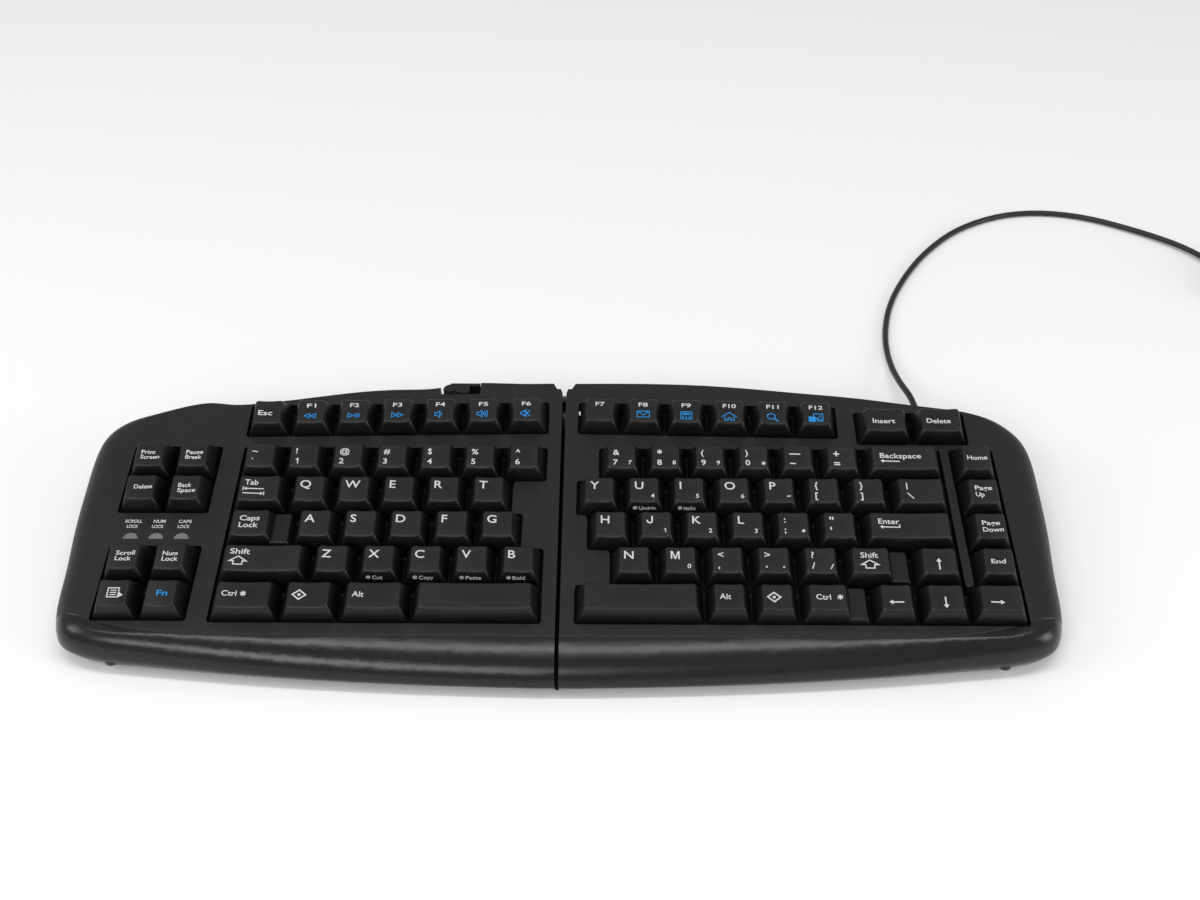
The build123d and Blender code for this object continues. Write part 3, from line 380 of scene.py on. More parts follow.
def printed(name, colour):
    """Ink printed on grained plastic: slightly uneven in density, with the grain showing through."""
    nodes = Nodes(name)
    nodes.feed(Base_Color=nodes.clouds(1400.0, colour, 0.90, 1.05),
               Roughness=nodes.ramp(nodes.noise(300.0), 0.46, 0.56),
               Normal=nodes.bump(nodes.noise(2600.0), 0.10, 0.00006), Specular_IOR_Level=0.35)


def metal(name, colour, rough, turned=900.0):
    """Bare steel: fine lines left by turning or rolling, with clouds in the gloss."""
    nodes = Nodes(name)
    stretch = nodes.add("Mapping", Scale=(1.0, 0.12, 1.0))
    nodes.link(nodes.place(), stretch.inputs["Vector"])
    lines = nodes.noise(turned, where=stretch.outputs["Vector"])
    nodes.feed(Base_Color=nodes.clouds(60.0, colour, 0.9, 1.05), Normal=nodes.bump(lines, 0.12, 0.00005),
               Roughness=nodes.ramp(lines, rough, rough + 0.12), Metallic=1.0)


def rubber(name, colour, rough=0.7):
    """Matt rubber with a soft uneven surface."""
    nodes = Nodes(name)
    nodes.feed(Base_Color=nodes.clouds(90.0, colour, 0.88, 1.12),
               Roughness=nodes.ramp(nodes.noise(400.0), rough - 0.06, rough + 0.06),
               Normal=nodes.bump(nodes.noise(1800.0), 0.16, 0.0001), Specular_IOR_Level=0.3)


def circuit(name, colour):
    """Lacquered circuit board: tracks under a green mask."""
    nodes = Nodes(name)
    tracks = nodes.add("TexBrick", Scale=160.0, Mortar_Size=0.06, Color1=(*colour, 1),
                       Color2=(*shade(colour, 0.8), 1), Mortar=(*shade(colour, 2.2), 1))
    nodes.link(nodes.place(), tracks.inputs["Vector"])
    nodes.feed(Base_Color=tracks.outputs["Color"], Normal=nodes.bump(tracks.outputs["Fac"], 0.3, 0.0001),
               Roughness=0.32)


def woven(name, colour):
    """Hook and loop tape: a close weave of two crossing waves."""
    nodes = Nodes(name)
    waves = []
    for direction in ("X", "Y"):
        wave = nodes.add("TexWave", Scale=420.0, Distortion=0.8)
        wave.bands_direction = direction
        nodes.link(nodes.place(), wave.inputs["Vector"])
        waves.append(wave.outputs["Fac"])
    weave = nodes.math("MULTIPLY", *waves)
    nodes.feed(Base_Color=nodes.ramp(weave, shade(colour, 0.7), shade(colour, 1.3), 0.1, 0.9),
               Normal=nodes.bump(weave, 0.6, 0.0003), Roughness=0.9, Specular_IOR_Level=0.2)


def jacket(name, colour):
    """Vinyl jacket of the cable: smooth, with faint ripples from the machine that drew it."""
    nodes = Nodes(name)
    ripple = nodes.noise(260.0)
    nodes.feed(Base_Color=nodes.clouds(35.0, colour, 0.85, 1.2), Roughness=nodes.ramp(ripple, 0.36, 0.48),
               Normal=nodes.bump(ripple, 0.14, 0.00015), Specular_IOR_Level=0.4)


def lens_finish(name, colour):
    """Frosted indicator lens: milky plastic that lets a little light through."""
    nodes = Nodes(name)
    nodes.feed(Base_Color=nodes.clouds(500.0, colour, 0.92, 1.08),
               Normal=nodes.bump(nodes.noise(2400.0), 0.1, 0.00008),
               Roughness=0.42, Subsurface_Weight=0.15, Subsurface_Scale=0.001)


def finishes():
    """Every finish by name, made once."""
    if "Case plastic" in bpy.data.materials:
        return bpy.data.materials
    looks = look()
    moulded("Case plastic", looks.case_colour, looks.grain, 0.48, 0.30, 0.38, polish=0.27)
    moulded("Cap plastic", looks.cap_colour, looks.grain * 0.8, 0.38, 0.18, 0.35, 0.10)
    moulded("Inner plastic", shade(looks.case_colour, 0.9), looks.grain * 1.4, 0.55, 0.2, 0.3)
    moulded("Lever plastic", shade(looks.case_colour, 0.9), looks.grain * 0.7, 0.38, 0.15, 0.4)
    moulded("Liner plastic", (0.010, 0.010, 0.011), 0.0004, 0.26, 0.1)
    moulded("Plug plastic", looks.cord_colour, 0.0004, 0.45, 0.25, 0.4)
    printed("White ink", looks.print_colour)
    printed("Blue ink", looks.icon_colour)
    metal("Steel", (0.62, 0.62, 0.60), 0.18)
    metal("Chrome", (0.80, 0.80, 0.80), 0.06, 400.0)
    metal("Zinc", (0.42, 0.42, 0.41), 0.34, 500.0)
    metal("Dark cast", (0.045, 0.045, 0.046), 0.34, 500.0)
    metal("Plug shell steel", (0.60, 0.60, 0.61), 0.22, 1200.0)
    rubber("Foot rubber", (0.020, 0.020, 0.020))
    # Near-black rubber of the strip in the split: painted shade for the shadow under the keyboard
    rubber("Seal rubber", (0.004, 0.004, 0.004), 0.8)
    rubber("Dome rubber", (0.42, 0.42, 0.40), 0.5)
    rubber("Relief rubber", looks.cord_colour, 0.55)
    circuit("Board", (0.010, 0.060, 0.022))
    circuit("Membrane", (0.28, 0.32, 0.33))
    woven("Tie weave", (0.016, 0.016, 0.016))
    jacket("Cable jacket", looks.cord_colour)
    lens_finish("Lens plastic", looks.lens_colour)
    return bpy.data.materials


# Caps
def outline_shares(corner_steps, long_steps, short_steps):
    """Points round a rounded rectangle, as shares: the corner's centre in x and y, then the direction out of
    it. Each quarter is an arc round one corner, then the straight run to the next corner."""
    corners = np.array([(1, 1), (-1, 1), (-1, -1), (1, -1)], float)
    parts = []
    for quarter, steps in enumerate((long_steps, short_steps, long_steps, short_steps)):
        here, after = corners[quarter], corners[(quarter + 1) % 4]
        angles = quarter * math.pi / 2 + np.linspace(0, math.pi / 2, corner_steps + 1)
        parts.append(np.column_stack([np.tile(here, (len(angles), 1)), np.cos(angles), np.sin(angles)]))
        run = np.linspace(0, 1, steps + 1)[1:-1, None]
        away = np.tile([math.cos(angles[-1]), math.sin(angles[-1])], (steps - 1, 1))
        parts.append(np.column_stack([here + (after - here) * run, away]))
    return np.concatenate(parts)


class Cap:
    """One key cap: its cell in the deck frame, its turn, and the heights of its top at the front and rear."""

    def __init__(self, x, y, width, heights, turn=0.0, high=None, low=None, depth=PITCH):
        self.cell_width = width
        self.centre = (x + width / 2, y + depth / 2)
        self.turn = math.radians(turn)
        self.front, self.rear = heights
        span = high or width
        start = low if low is not None else -width / 2
        self.middle = start + span / 2 if low is None else (start + width / 2) / 2
        self.foot_x = (span if low is None else width / 2 - start) / 2 - CAP_GAP / 2
        self.foot_y = (depth - CAP_GAP) / 2
        mean = (self.front + self.rear) / 2 - CAP_FOOT
        self.head_x = self.foot_x - SIDE_SLOPE * mean
        self.y_front = -self.foot_y + FRONT_SLOPE * (self.front - CAP_FOOT)
        self.y_rear = self.foot_y - REAR_SLOPE * (self.rear - CAP_FOOT)
        self.dish, self.ceiling = (DISH, CAP_CEILING) if low is None else (0.0, CAP_WALL)
        self.stepped = high is not None

    def top(self, x, y):
        """Height of the top: a plane that rises to the rear, less a shallow trough along Y."""
        rise = (self.rear - self.front) / (self.y_rear - self.y_front)
        plane = self.front + (y - self.y_front) * rise
        across = np.clip((x - self.middle) / self.head_x, -1, 1)
        return plane - self.dish * (1 - across ** 2)

    def place(self, points):
        """Points of the cap's own frame, in the frame of the keyboard."""
        x, y, z = points[..., 0], points[..., 1], points[..., 2]
        cos, sin = math.cos(self.turn), math.sin(self.turn)
        turned = np.stack([self.centre[0] + x * cos - y * sin, self.centre[1] + x * sin + y * cos, z], -1)
        return on_deck(turned)

    def rings(self):
        """Rings of the closed shell. Each is a rounded rectangle given by its half sizes, its corner radius,
        its middle in y, its share of the way up from foot to top, and how far it lies below that. They run
        from the middle of the ceiling inside, down the inner wall, round the foot, up the outer wall, over
        the rounded edge and across the top to its middle. With them comes the wear at each point."""
        long_steps = max(8, int(self.head_x * 1.2))
        around = outline_shares(5, long_steps, 6)
        mid_y = (self.y_front + self.y_rear) / 2
        head_y = (self.y_rear - self.y_front) / 2
        tall = (self.front + self.rear) / 2 - CAP_FOOT
        inner_x = self.foot_x - CAP_WALL - SIDE_SLOPE * (tall - self.ceiling)
        table = []
        for share in CEILING_RINGS:
            half = (inner_x * share, (head_y - CAP_WALL) * share)
            table.append((*half, 0.8 * share, mid_y, 1.0, self.ceiling))
        table.append((self.foot_x - CAP_WALL, self.foot_y - CAP_WALL, 0.5, 0.0, 0.0, 0.0))
        edge_share = 1 - EDGE / tall
        for share, inset in ((0.0, FOOT_INSET), (0.02, 0.0), (0.5, 0.0), (edge_share, 0.0)):
            half_x = self.foot_x + (self.head_x - self.foot_x) * share - inset
            half_y = self.foot_y + (head_y - self.foot_y) * share - inset
            radius = FOOT_RADIUS + (HEAD_RADIUS - FOOT_RADIUS) * share
            table.append((half_x, half_y, radius, mid_y * share, share, 0.0))
        for angle in np.radians(EDGE_RINGS):
            inset = EDGE * (1 - math.cos(angle))
            drop = EDGE * (1 - math.sin(angle))
            table.append((self.head_x - inset, head_y - inset, HEAD_RADIUS - inset, mid_y, 1.0, drop))
        for share in TOP_RINGS:
            half = ((self.head_x - EDGE) * share, (head_y - EDGE) * share)
            table.append((*half, (HEAD_RADIUS - EDGE) * share, mid_y, 1.0, 0.0))
        table = np.array(table)[:, :, None]
        half_x, half_y, radius, middle, share, drop = (table[:, column] for column in range(6))
        x = self.middle + around[:, 0] * (half_x - radius) + around[:, 2] * radius
        y = middle + around[:, 1] * (half_y - radius) + around[:, 3] * radius
        z = CAP_FOOT + share * (self.top(x, y) - CAP_FOOT) - drop
        away = np.maximum(np.abs((x - self.middle) / self.head_x), np.abs((y - mid_y) / head_y))
        wear = np.clip(1.15 - 1.3 * away, 0, 1)
        wear = wear * (share >= 1) * (drop < 0.3)
        return np.stack([x, y, z], -1), wear + 0 * x

    def shell(self):
        """Points, faces and wear of the closed shell."""
        points, wear = self.rings()
        count, around = points.shape[:2]
        here = np.arange(around)[None, :]
        faces = [ring_quads(count, around), here[:, ::-1], here + (count - 1) * around]
        return self.place(points).reshape(-1, 3), faces, wear.reshape(-1)

    def posts(self):
        """Square posts that slide in the key plate, each as points and faces."""
        sites = [0.0]
        if self.cell_width > LONG_KEY:
            reach = self.cell_width / 2 - LONG_KEY_POST
            sites += [-reach, reach]
        corners = np.array([(-1, -1), (1, -1), (1, 1), (-1, 1)]) * PLUNGER / 2
        faces = [ring_quads(2, 4), [[3, 2, 1, 0]], [[4, 5, 6, 7]]]
        parts = []
        for x in sites:
            rings = [np.column_stack([corners + (x, 0), np.full(4, z)])
                     for z in (PLUNGER_END, self.front - CAP_CEILING / 2)]
            parts.append((self.place(np.concatenate(rings)), faces))
        return parts


def row_cells(side, row):
    """Left edges and widths of the keys of one main row, counted from the front, of the left (-1) or right (1)
    half."""
    five = (1,) * 5
    if side < 0:
        units = ((1.5, 1.25, 1.5, 2.75), (2, *five), (1.5, *five), (1.25, *five), (1, 1, *five))[row]
        start = LEFT_EDGE
    else:
        units = ((2.75, 1, 1, 1.5, 1), (*five, 1.5), (1, *five), (1, 1, *five), (1, *five))[row]
        start = RIGHT_START + (0, 0.75, 0.25, 0, 0.5)[row] * PITCH
    edges = start + PITCH * np.concatenate([[0], np.cumsum(units)])
    cells = list(zip(edges[:-1], np.diff(edges)))
    return cells if side < 0 else cells + [(edges[-1], RIGHT_EDGE - edges[-1])]


def row_caps(side, row, first, last, high=None):
    cells = row_cells(side, row)[first:last]
    return [Cap(x, row * PITCH, width, HEIGHTS[ROWS[row]], high=high) for x, width in cells]


def function_caps(side):
    """Caps of the slanted function row: from the left of each half to its right."""
    width = FUNCTION_WIDTHS[side]
    caps = []
    for place in range(FUNCTION_COUNTS[side]):
        reach = RIGHT_START + (place + 0.5) * width
        y = FUNCTION_Y + PITCH / 2 - (reach - RIGHT_START) * math.tan(math.radians(FUNCTION_TURN))
        left, turn = side * reach - width / 2, -side * FUNCTION_TURN
        caps.append(Cap(left, y - PITCH / 2, width, HEIGHTS["function"], turn))
    return caps if side > 0 else caps[::-1]


def block_caps(x, y):
    """Four caps of a side block, front left one first."""
    return [Cap(x + i * PITCH, y + j * PITCH, PITCH, HEIGHTS["side"]) for j in range(2) for i in range(2)]


# Prints. A mark is a thin closed plate in its own plane: points with x and y in millimetres and z at -1 or 1,
# and triangles. x runs from the left edge of the cap's head and y from its rear edge. A mark for the front
# face of a cap is the value below and its word instead.
FRONT = "front"


def lettering(text, left, down, height, width=None, weight=WEIGHT):
    """Letters whose capitals are as high as asked, with the top of the capitals at down."""
    curve = bpy.data.curves.new("Lettering", "FONT")
    curve.body = text
    curve.offset = weight
    curve.extrude = 0.01
    curve.resolution_u = 4
    holder = bpy.data.objects.new("Lettering", curve)
    mesh = bpy.data.meshes.new_from_object(holder)
    points = np.empty(len(mesh.vertices) * 3)
    mesh.vertices.foreach_get("co", points)
    points = points.reshape(-1, 3)
    mesh.calc_loop_triangles()
    faces = np.empty(len(mesh.loop_triangles) * 3, int)
    mesh.loop_triangles.foreach_get("vertices", faces)
    _, kept, joined = np.unique(np.round(points, 5), axis=0, return_index=True, return_inverse=True)
    points, faces = points[kept], joined.reshape(-1)[faces].reshape(-1, 3)
    faces = faces[(faces != np.roll(faces, 1, 1)).all(1)]
    low, high = points[:, 0].min(), points[:, 0].max()
    scale = height / (CAPITAL + 2 * weight)
    across = width / (high - low) if width else scale * SPREAD
    x = (points[:, 0] - low) * across + left
    y = (points[:, 1] + weight) * scale - down - height
    plate = np.column_stack([x, y, np.sign(points[:, 2])])
    bpy.data.objects.remove(holder)
    bpy.data.curves.remove(curve)
    bpy.data.meshes.remove(mesh)
    return plate, faces.reshape(-1, 3)


def plate_between(first, second, closed):
    """Thin plate between two lines with the same number of points: its top, its underside and its edges."""
    count = len(first)
    lines = [np.column_stack([line, np.full(count, level)]) for level in (1, -1) for line in (first, second)]
    here = np.arange(count if closed else count - 1)
    after = (here + 1) % count
    strips = []
    for a, b in ((1, 0), (0, 2), (2, 3), (3, 1)):
        a, b = a * count, b * count
        strips.append(np.column_stack([a + here, a + after, b + after, b + here]))
    quads = np.concatenate(strips)
    if not closed:
        last = count - 1
        ends = [[0, 2 * count, 3 * count, count], [last, count + last, 3 * count + last, 2 * count + last]]
        quads = np.concatenate([quads, ends])
    return np.concatenate(lines), np.concatenate([quads[:, [0, 1, 2]], quads[:, [0, 2, 3]]])


def stroke(points, width=0.55, closed=False):
    """A line of even width: each side is the line moved by half the width along its normal, with mitred
    corners."""
    points = np.array(points, float)
    if closed:
        before, after = points - np.roll(points, 1, 0), np.roll(points, -1, 0) - points
    else:
        runs = np.diff(points, axis=0)
        before, after = np.vstack([runs[:1], runs]), np.vstack([runs, runs[-1:]])
    total = sum(np.column_stack([-run[:, 1], run[:, 0]]) / np.linalg.norm(run, axis=1)[:, None]
                for run in (before, after))
    side = total / (total ** 2).sum(1)[:, None] * width
    return plate_between(points + side, points - side, closed)


def filled(points):
    """A filled outline."""
    points = np.array(points, float)
    area = np.sum(points[:, 0] * np.roll(points[:, 1], -1) - points[:, 1] * np.roll(points[:, 0], -1))
    points = points if area > 0 else points[::-1]
    count = len(points)
    top = np.array(tessellate_polygon([[Vector((*point, 0)) for point in points]]))
    corner = points[top]
    first, second = corner[:, 1] - corner[:, 0], corner[:, 2] - corner[:, 0]
    turned = first[:, 0] * second[:, 1] < first[:, 1] * second[:, 0]
    top[turned] = top[turned][:, ::-1]
    here = np.arange(count)
    after = (here + 1) % count
    edges = np.concatenate([np.column_stack([here + count, after + count, after]),
                            np.column_stack([here + count, after, here])])
    both = np.concatenate([np.column_stack([points, np.full(count, level)]) for level in (1.0, -1.0)])
    return both, np.concatenate([top, top[:, ::-1] + count, edges])


def arc(x, y, radius, start=0.0, end=360.0, steps=20, flat=1.0):
    """Points along an arc in degrees. A whole turn leaves its end out. flat squeezes it in height."""
    angles = np.radians(np.linspace(start, end, steps, endpoint=abs(end - start) < 359.9))
    return np.column_stack([x + radius * np.cos(angles), y + radius * flat * np.sin(angles)])


def star(x, y, radius):
    """Asterisk of six blunt arms: each arm has two corners at its end, and a corner lies between two arms."""
    arm = np.radians(np.arange(6) * 60.0 + 90.0)
    turn = math.radians(15)
    angles = np.column_stack([arm - turn, arm + turn, arm + math.pi / 6]).reshape(-1)
    reach = np.tile([radius, radius, radius * 0.36], 6)
    return filled(np.column_stack([x + reach * np.cos(angles), y + reach * np.sin(angles)]))


def arrow(x0, y0, x1, y1, head=1.1, width=0.6):
    """A straight arrow from one point to another, with a filled head."""
    start, end = np.array((x0, y0), float), np.array((x1, y1), float)
    along = (end - start) / np.linalg.norm(end - start)
    across = np.array((-along[1], along[0]))
    neck = end - along * head * 1.5
    point = filled([neck + across * head, neck - across * head, end])
    return [stroke([start, neck + along * 0.1], width), point]


def plain_letter(text, left, down, height):
    """A capital, with M, J and the figure 1 drawn in even strokes, as they are on the keys."""
    width, line = {"M": 0.98, "J": 0.72, "1": 0.42}.get(text, 1.0) * height, height * 0.17
    top, foot, right = -down, -down - height, left + width
    if text == "M":
        middle = left + width / 2
        return filled([(left, foot), (left, top), (left + line * 1.35, top), (middle, foot + line * 1.5),
                       (right - line * 1.35, top), (right, top), (right, foot), (right - line, foot),
                       (right - line, top - line * 1.4), (middle + line * 0.5, foot),
                       (middle - line * 0.5, foot), (left + line, top - line * 1.4), (left + line, foot)])
    if text == "J":
        near, far = left + line / 2, right - line / 2
        bend = (far - near) / 2
        hook = arc(near + bend, foot + line / 2 + bend, bend, 0, -180, 9)
        return stroke([(far, top)] + hook.tolist() + [(near, foot + line / 2 + bend * 1.3)], line)
    if text == "1":
        inner = right - line
        return filled([(left, top - height * 0.22), (inner, top), (right, top), (right, foot), (inner, foot),
                       (inner, top - height * 0.27), (left, top - height * 0.38)])
    return lettering(text, left, down, height)


def letter(text, sub=None, under=None, left=1.95):
    """A large letter, and if given a small one at the lower right and a word on the front face."""
    marks = [plain_letter(text, left, 2.05, 3.75)] + small(sub)
    return marks + [(FRONT, under)] if under else marks


def small(sub):
    """The small sign at the lower right of a cap."""
    if not sub:
        return []
    if sub in "-+.":
        return sign(sub, 9.2, 8.5, 1.5)
    if sub == "*":
        return [star(9.9, -9.5, 0.95)]
    if sub == "/":
        return [stroke([(9.7, -10.4), (10.9, -8.2)], 0.45)]
    if sub == "1":
        return [plain_letter(sub, 9.2, 8.25, 2.0)]
    return [lettering(sub, 8.7, 8.25, 2.0, weight=HEAVY)]


def bar(left, middle, length, width):
    return stroke([(left, middle), (left + length, middle)], width)


def sign(kind, left, down, size):
    """Signs made of plain strokes: dash, underline, plus, equals and dot."""
    middle = -down - size / 2
    if kind == ".":
        return [filled(arc(left + 0.6, middle - 0.3, 0.42, steps=12))]
    if kind == "+":
        across = left + size / 2
        upright = stroke([(across, middle - size / 2), (across, middle + size / 2)], 0.6)
        return [bar(left, middle, size, 0.6), upright]
    if kind == "=":
        return [bar(left, middle + lift, size, 0.55) for lift in (0.5, -0.5)]
    return [bar(left, middle, size * 1.6 if kind == "_" else size, 0.55)]


def pair(upper, lower, sub=None, tall=False):
    """A sign above and a sign below at the left of the cap."""
    down, gap, height = (2.1, 5.1, 3.0) if tall else (2.6, 5.1, 2.75)
    marks = []
    for text, place in ((upper, down), (lower, down + gap)):
        if text in ("-", "+", "=", ".", "_"):
            marks += sign(text, 2.2, place + 0.4, 2.6 if text in "+=-" else 3.0)
        elif text == "*":
            marks.append(star(3.2, -place - 1.0, 1.15))
        elif text == "$":
            marks.append(lettering("S", 2.1, place, height))
            marks.append(stroke([(3.0, 0.35 - place), (3.0, -place - height - 0.35)], 0.35))
        elif text in "'\"":
            for x in (2.4, 3.5)[:2 if text == '"' else 1]:
                marks.append(stroke([(x, -place), (x, -place - 1.4)], 0.65))
        elif text == "1":
            marks.append(plain_letter(text, 2.4, place, height))
        else:
            marks.append(lettering(text, 2.1, place, height, weight=HEAVY))
    return marks + small(sub)


def words(*lines, left, down, widths, height=2.05, step=2.65):
    """One or two short words, one under the other."""
    return [lettering(text, left, down + place * step, height, width, HEAVY)
            for place, (text, width) in enumerate(zip(lines, widths))]


def shift_arrow(left, down):
    """Outline of a broad upward arrow."""
    shape = [(0, -2.3), (3.4, 0), (6.8, -2.3), (5.2, -2.3), (5.2, -3.9), (1.6, -3.9), (1.6, -2.3)]
    return stroke([(left + x, y - down) for x, y in shape], 0.5, True)


def speaker(left, waves):
    """Loudspeaker in outline, with arcs for its sound, or a cross if waves is zero."""
    body = [(0, -1.0), (0, -2.3), (0.9, -2.3), (2.2, -3.4), (2.2, 0.1), (0.9, -1.0)]
    marks = [stroke([(left + x, y) for x, y in body], 0.38, True)]
    for number in range(waves):
        marks.append(stroke(arc(left + 1.9, -1.65, 1.1 + 0.85 * number, -42, 42, 8), 0.36))
    if not waves:
        marks.append(stroke([(left + 1.2, 0), (left + 4.0, -3.3)], 0.38))
        marks.append(stroke([(left + 4.0, 0), (left + 1.2, -3.3)], 0.38))
    return marks


def triangle(left, point):
    """Small outlined triangle that points left or right."""
    x = (left, left + 2.3) if point > 0 else (left + 2.3, left)
    return stroke([(x[0], -0.8), (x[1], -1.95), (x[0], -3.1)], 0.36, True)


def rectangle(left, top, right, foot):
    return [(left, top), (right, top), (right, foot), (left, foot)]


def function_sign(kind):
    """Second sign of a key of the function row, drawn in outline."""
    if kind == "rewind":
        marks = [triangle(3.0, -1), triangle(5.6, -1)]
    elif kind == "forward":
        marks = [triangle(3.4, 1), triangle(6.0, 1)]
    elif kind == "play":
        marks = [triangle(3.1, 1)] + [stroke([(x, -0.8), (x, -3.1)], 0.36) for x in (6.3, 7.1, 8.0)]
    elif kind == "louder":
        marks = speaker(2.9, 3)
    elif kind in ("quieter", "mute"):
        marks = speaker(3.4, 1 if kind == "quieter" else 0)
    elif kind == "mail":
        marks = [stroke(rectangle(3.1, 0, 8.5, -3.2), 0.38, True),
                 stroke([(3.2, -0.1), (5.8, -2.0), (8.4, -0.1)], 0.34)]
    elif kind == "calculator":
        marks = [stroke(rectangle(3.3, 0, 8.1, -3.9), 0.38, True), stroke([(4.0, -1.1), (7.4, -1.1)], 0.8)]
        marks += [filled(arc(x, -y, 0.33, steps=8)) for x in (4.3, 5.7, 7.1) for y in (2.4, 3.2)]
    elif kind == "house":
        marks = [stroke([(2.3, -2.3), (5.6, 0.2), (8.9, -2.3)], 0.4),
                 stroke([(3.6, -1.9), (3.6, -4.1), (5.0, -4.1), (5.0, -2.8), (6.2, -2.8), (6.2, -4.1),
                         (7.6, -4.1), (7.6, -1.9)], 0.4)]
    elif kind == "search":
        marks = [stroke(arc(5.0, -1.5, 1.75, flat=0.85), 0.42, True), stroke([(6.3, -2.7), (8.1, -4.2)], 0.6)]
    else:
        marks = [stroke(rectangle(4.6, 0.2, 8.6, -2.9), 0.38, True), filled(rectangle(2.3, -1.3, 5.4, -4.1)),
                 stroke([(5.2, -1.5), (6.2, -2.3), (7.8, -0.6)], 0.36),
                 stroke([(6.0, -3.6), (8.8, -3.6)], 0.5)]
    return [(points - (0, SIGN_DROP, 0), faces) for points, faces in marks]


def function_label(text):
    width = FUNCTION_WORDS.get(text, 4.1)
    if text == "Esc":
        return [lettering(text, 1.5, 5.3, 2.6, width, HEAVY)]
    return [lettering(text, 5.7 - width / 2, 1.8, 2.1, width, HEAVY)]


def system_sign():
    """Plain outlined diamond with a dot."""
    shape = [(4.6, -3.9), (7.2, -6.1), (4.6, -8.3), (2.0, -6.1)]
    return [stroke(shape, 0.6, True), filled(arc(4.6, -6.1, 0.65, steps=12))]


def menu_sign():
    """A list in a box with a pointer."""
    rows = [stroke([(4.5, -y), (7.1, -y)], 0.4) for y in (4.9, 5.9, 6.9)]
    pointer = filled([(8.0, -5.6), (8.0, -8.2), (10.0, -7.2)])
    return [stroke(rectangle(3.6, -3.8, 8.0, -8.0), 0.45, True)] + rows + [pointer]


def tab_marks():
    """The word with two arrows below it, each against a bar."""
    bars = [stroke([(1.6, -5.6), (1.6, -7.5)], 0.4), stroke([(10.6, -7.9), (10.6, -9.8)], 0.4)]
    arrows = arrow(10.3, -6.5, 1.9, -6.5, 0.8, 0.45), arrow(1.6, -8.85, 10.3, -8.85, 0.8, 0.45)
    return [lettering("Tab", 2.0, 1.9, 2.6, 5.6), bars[0], *arrows[0], bars[1], *arrows[1]]


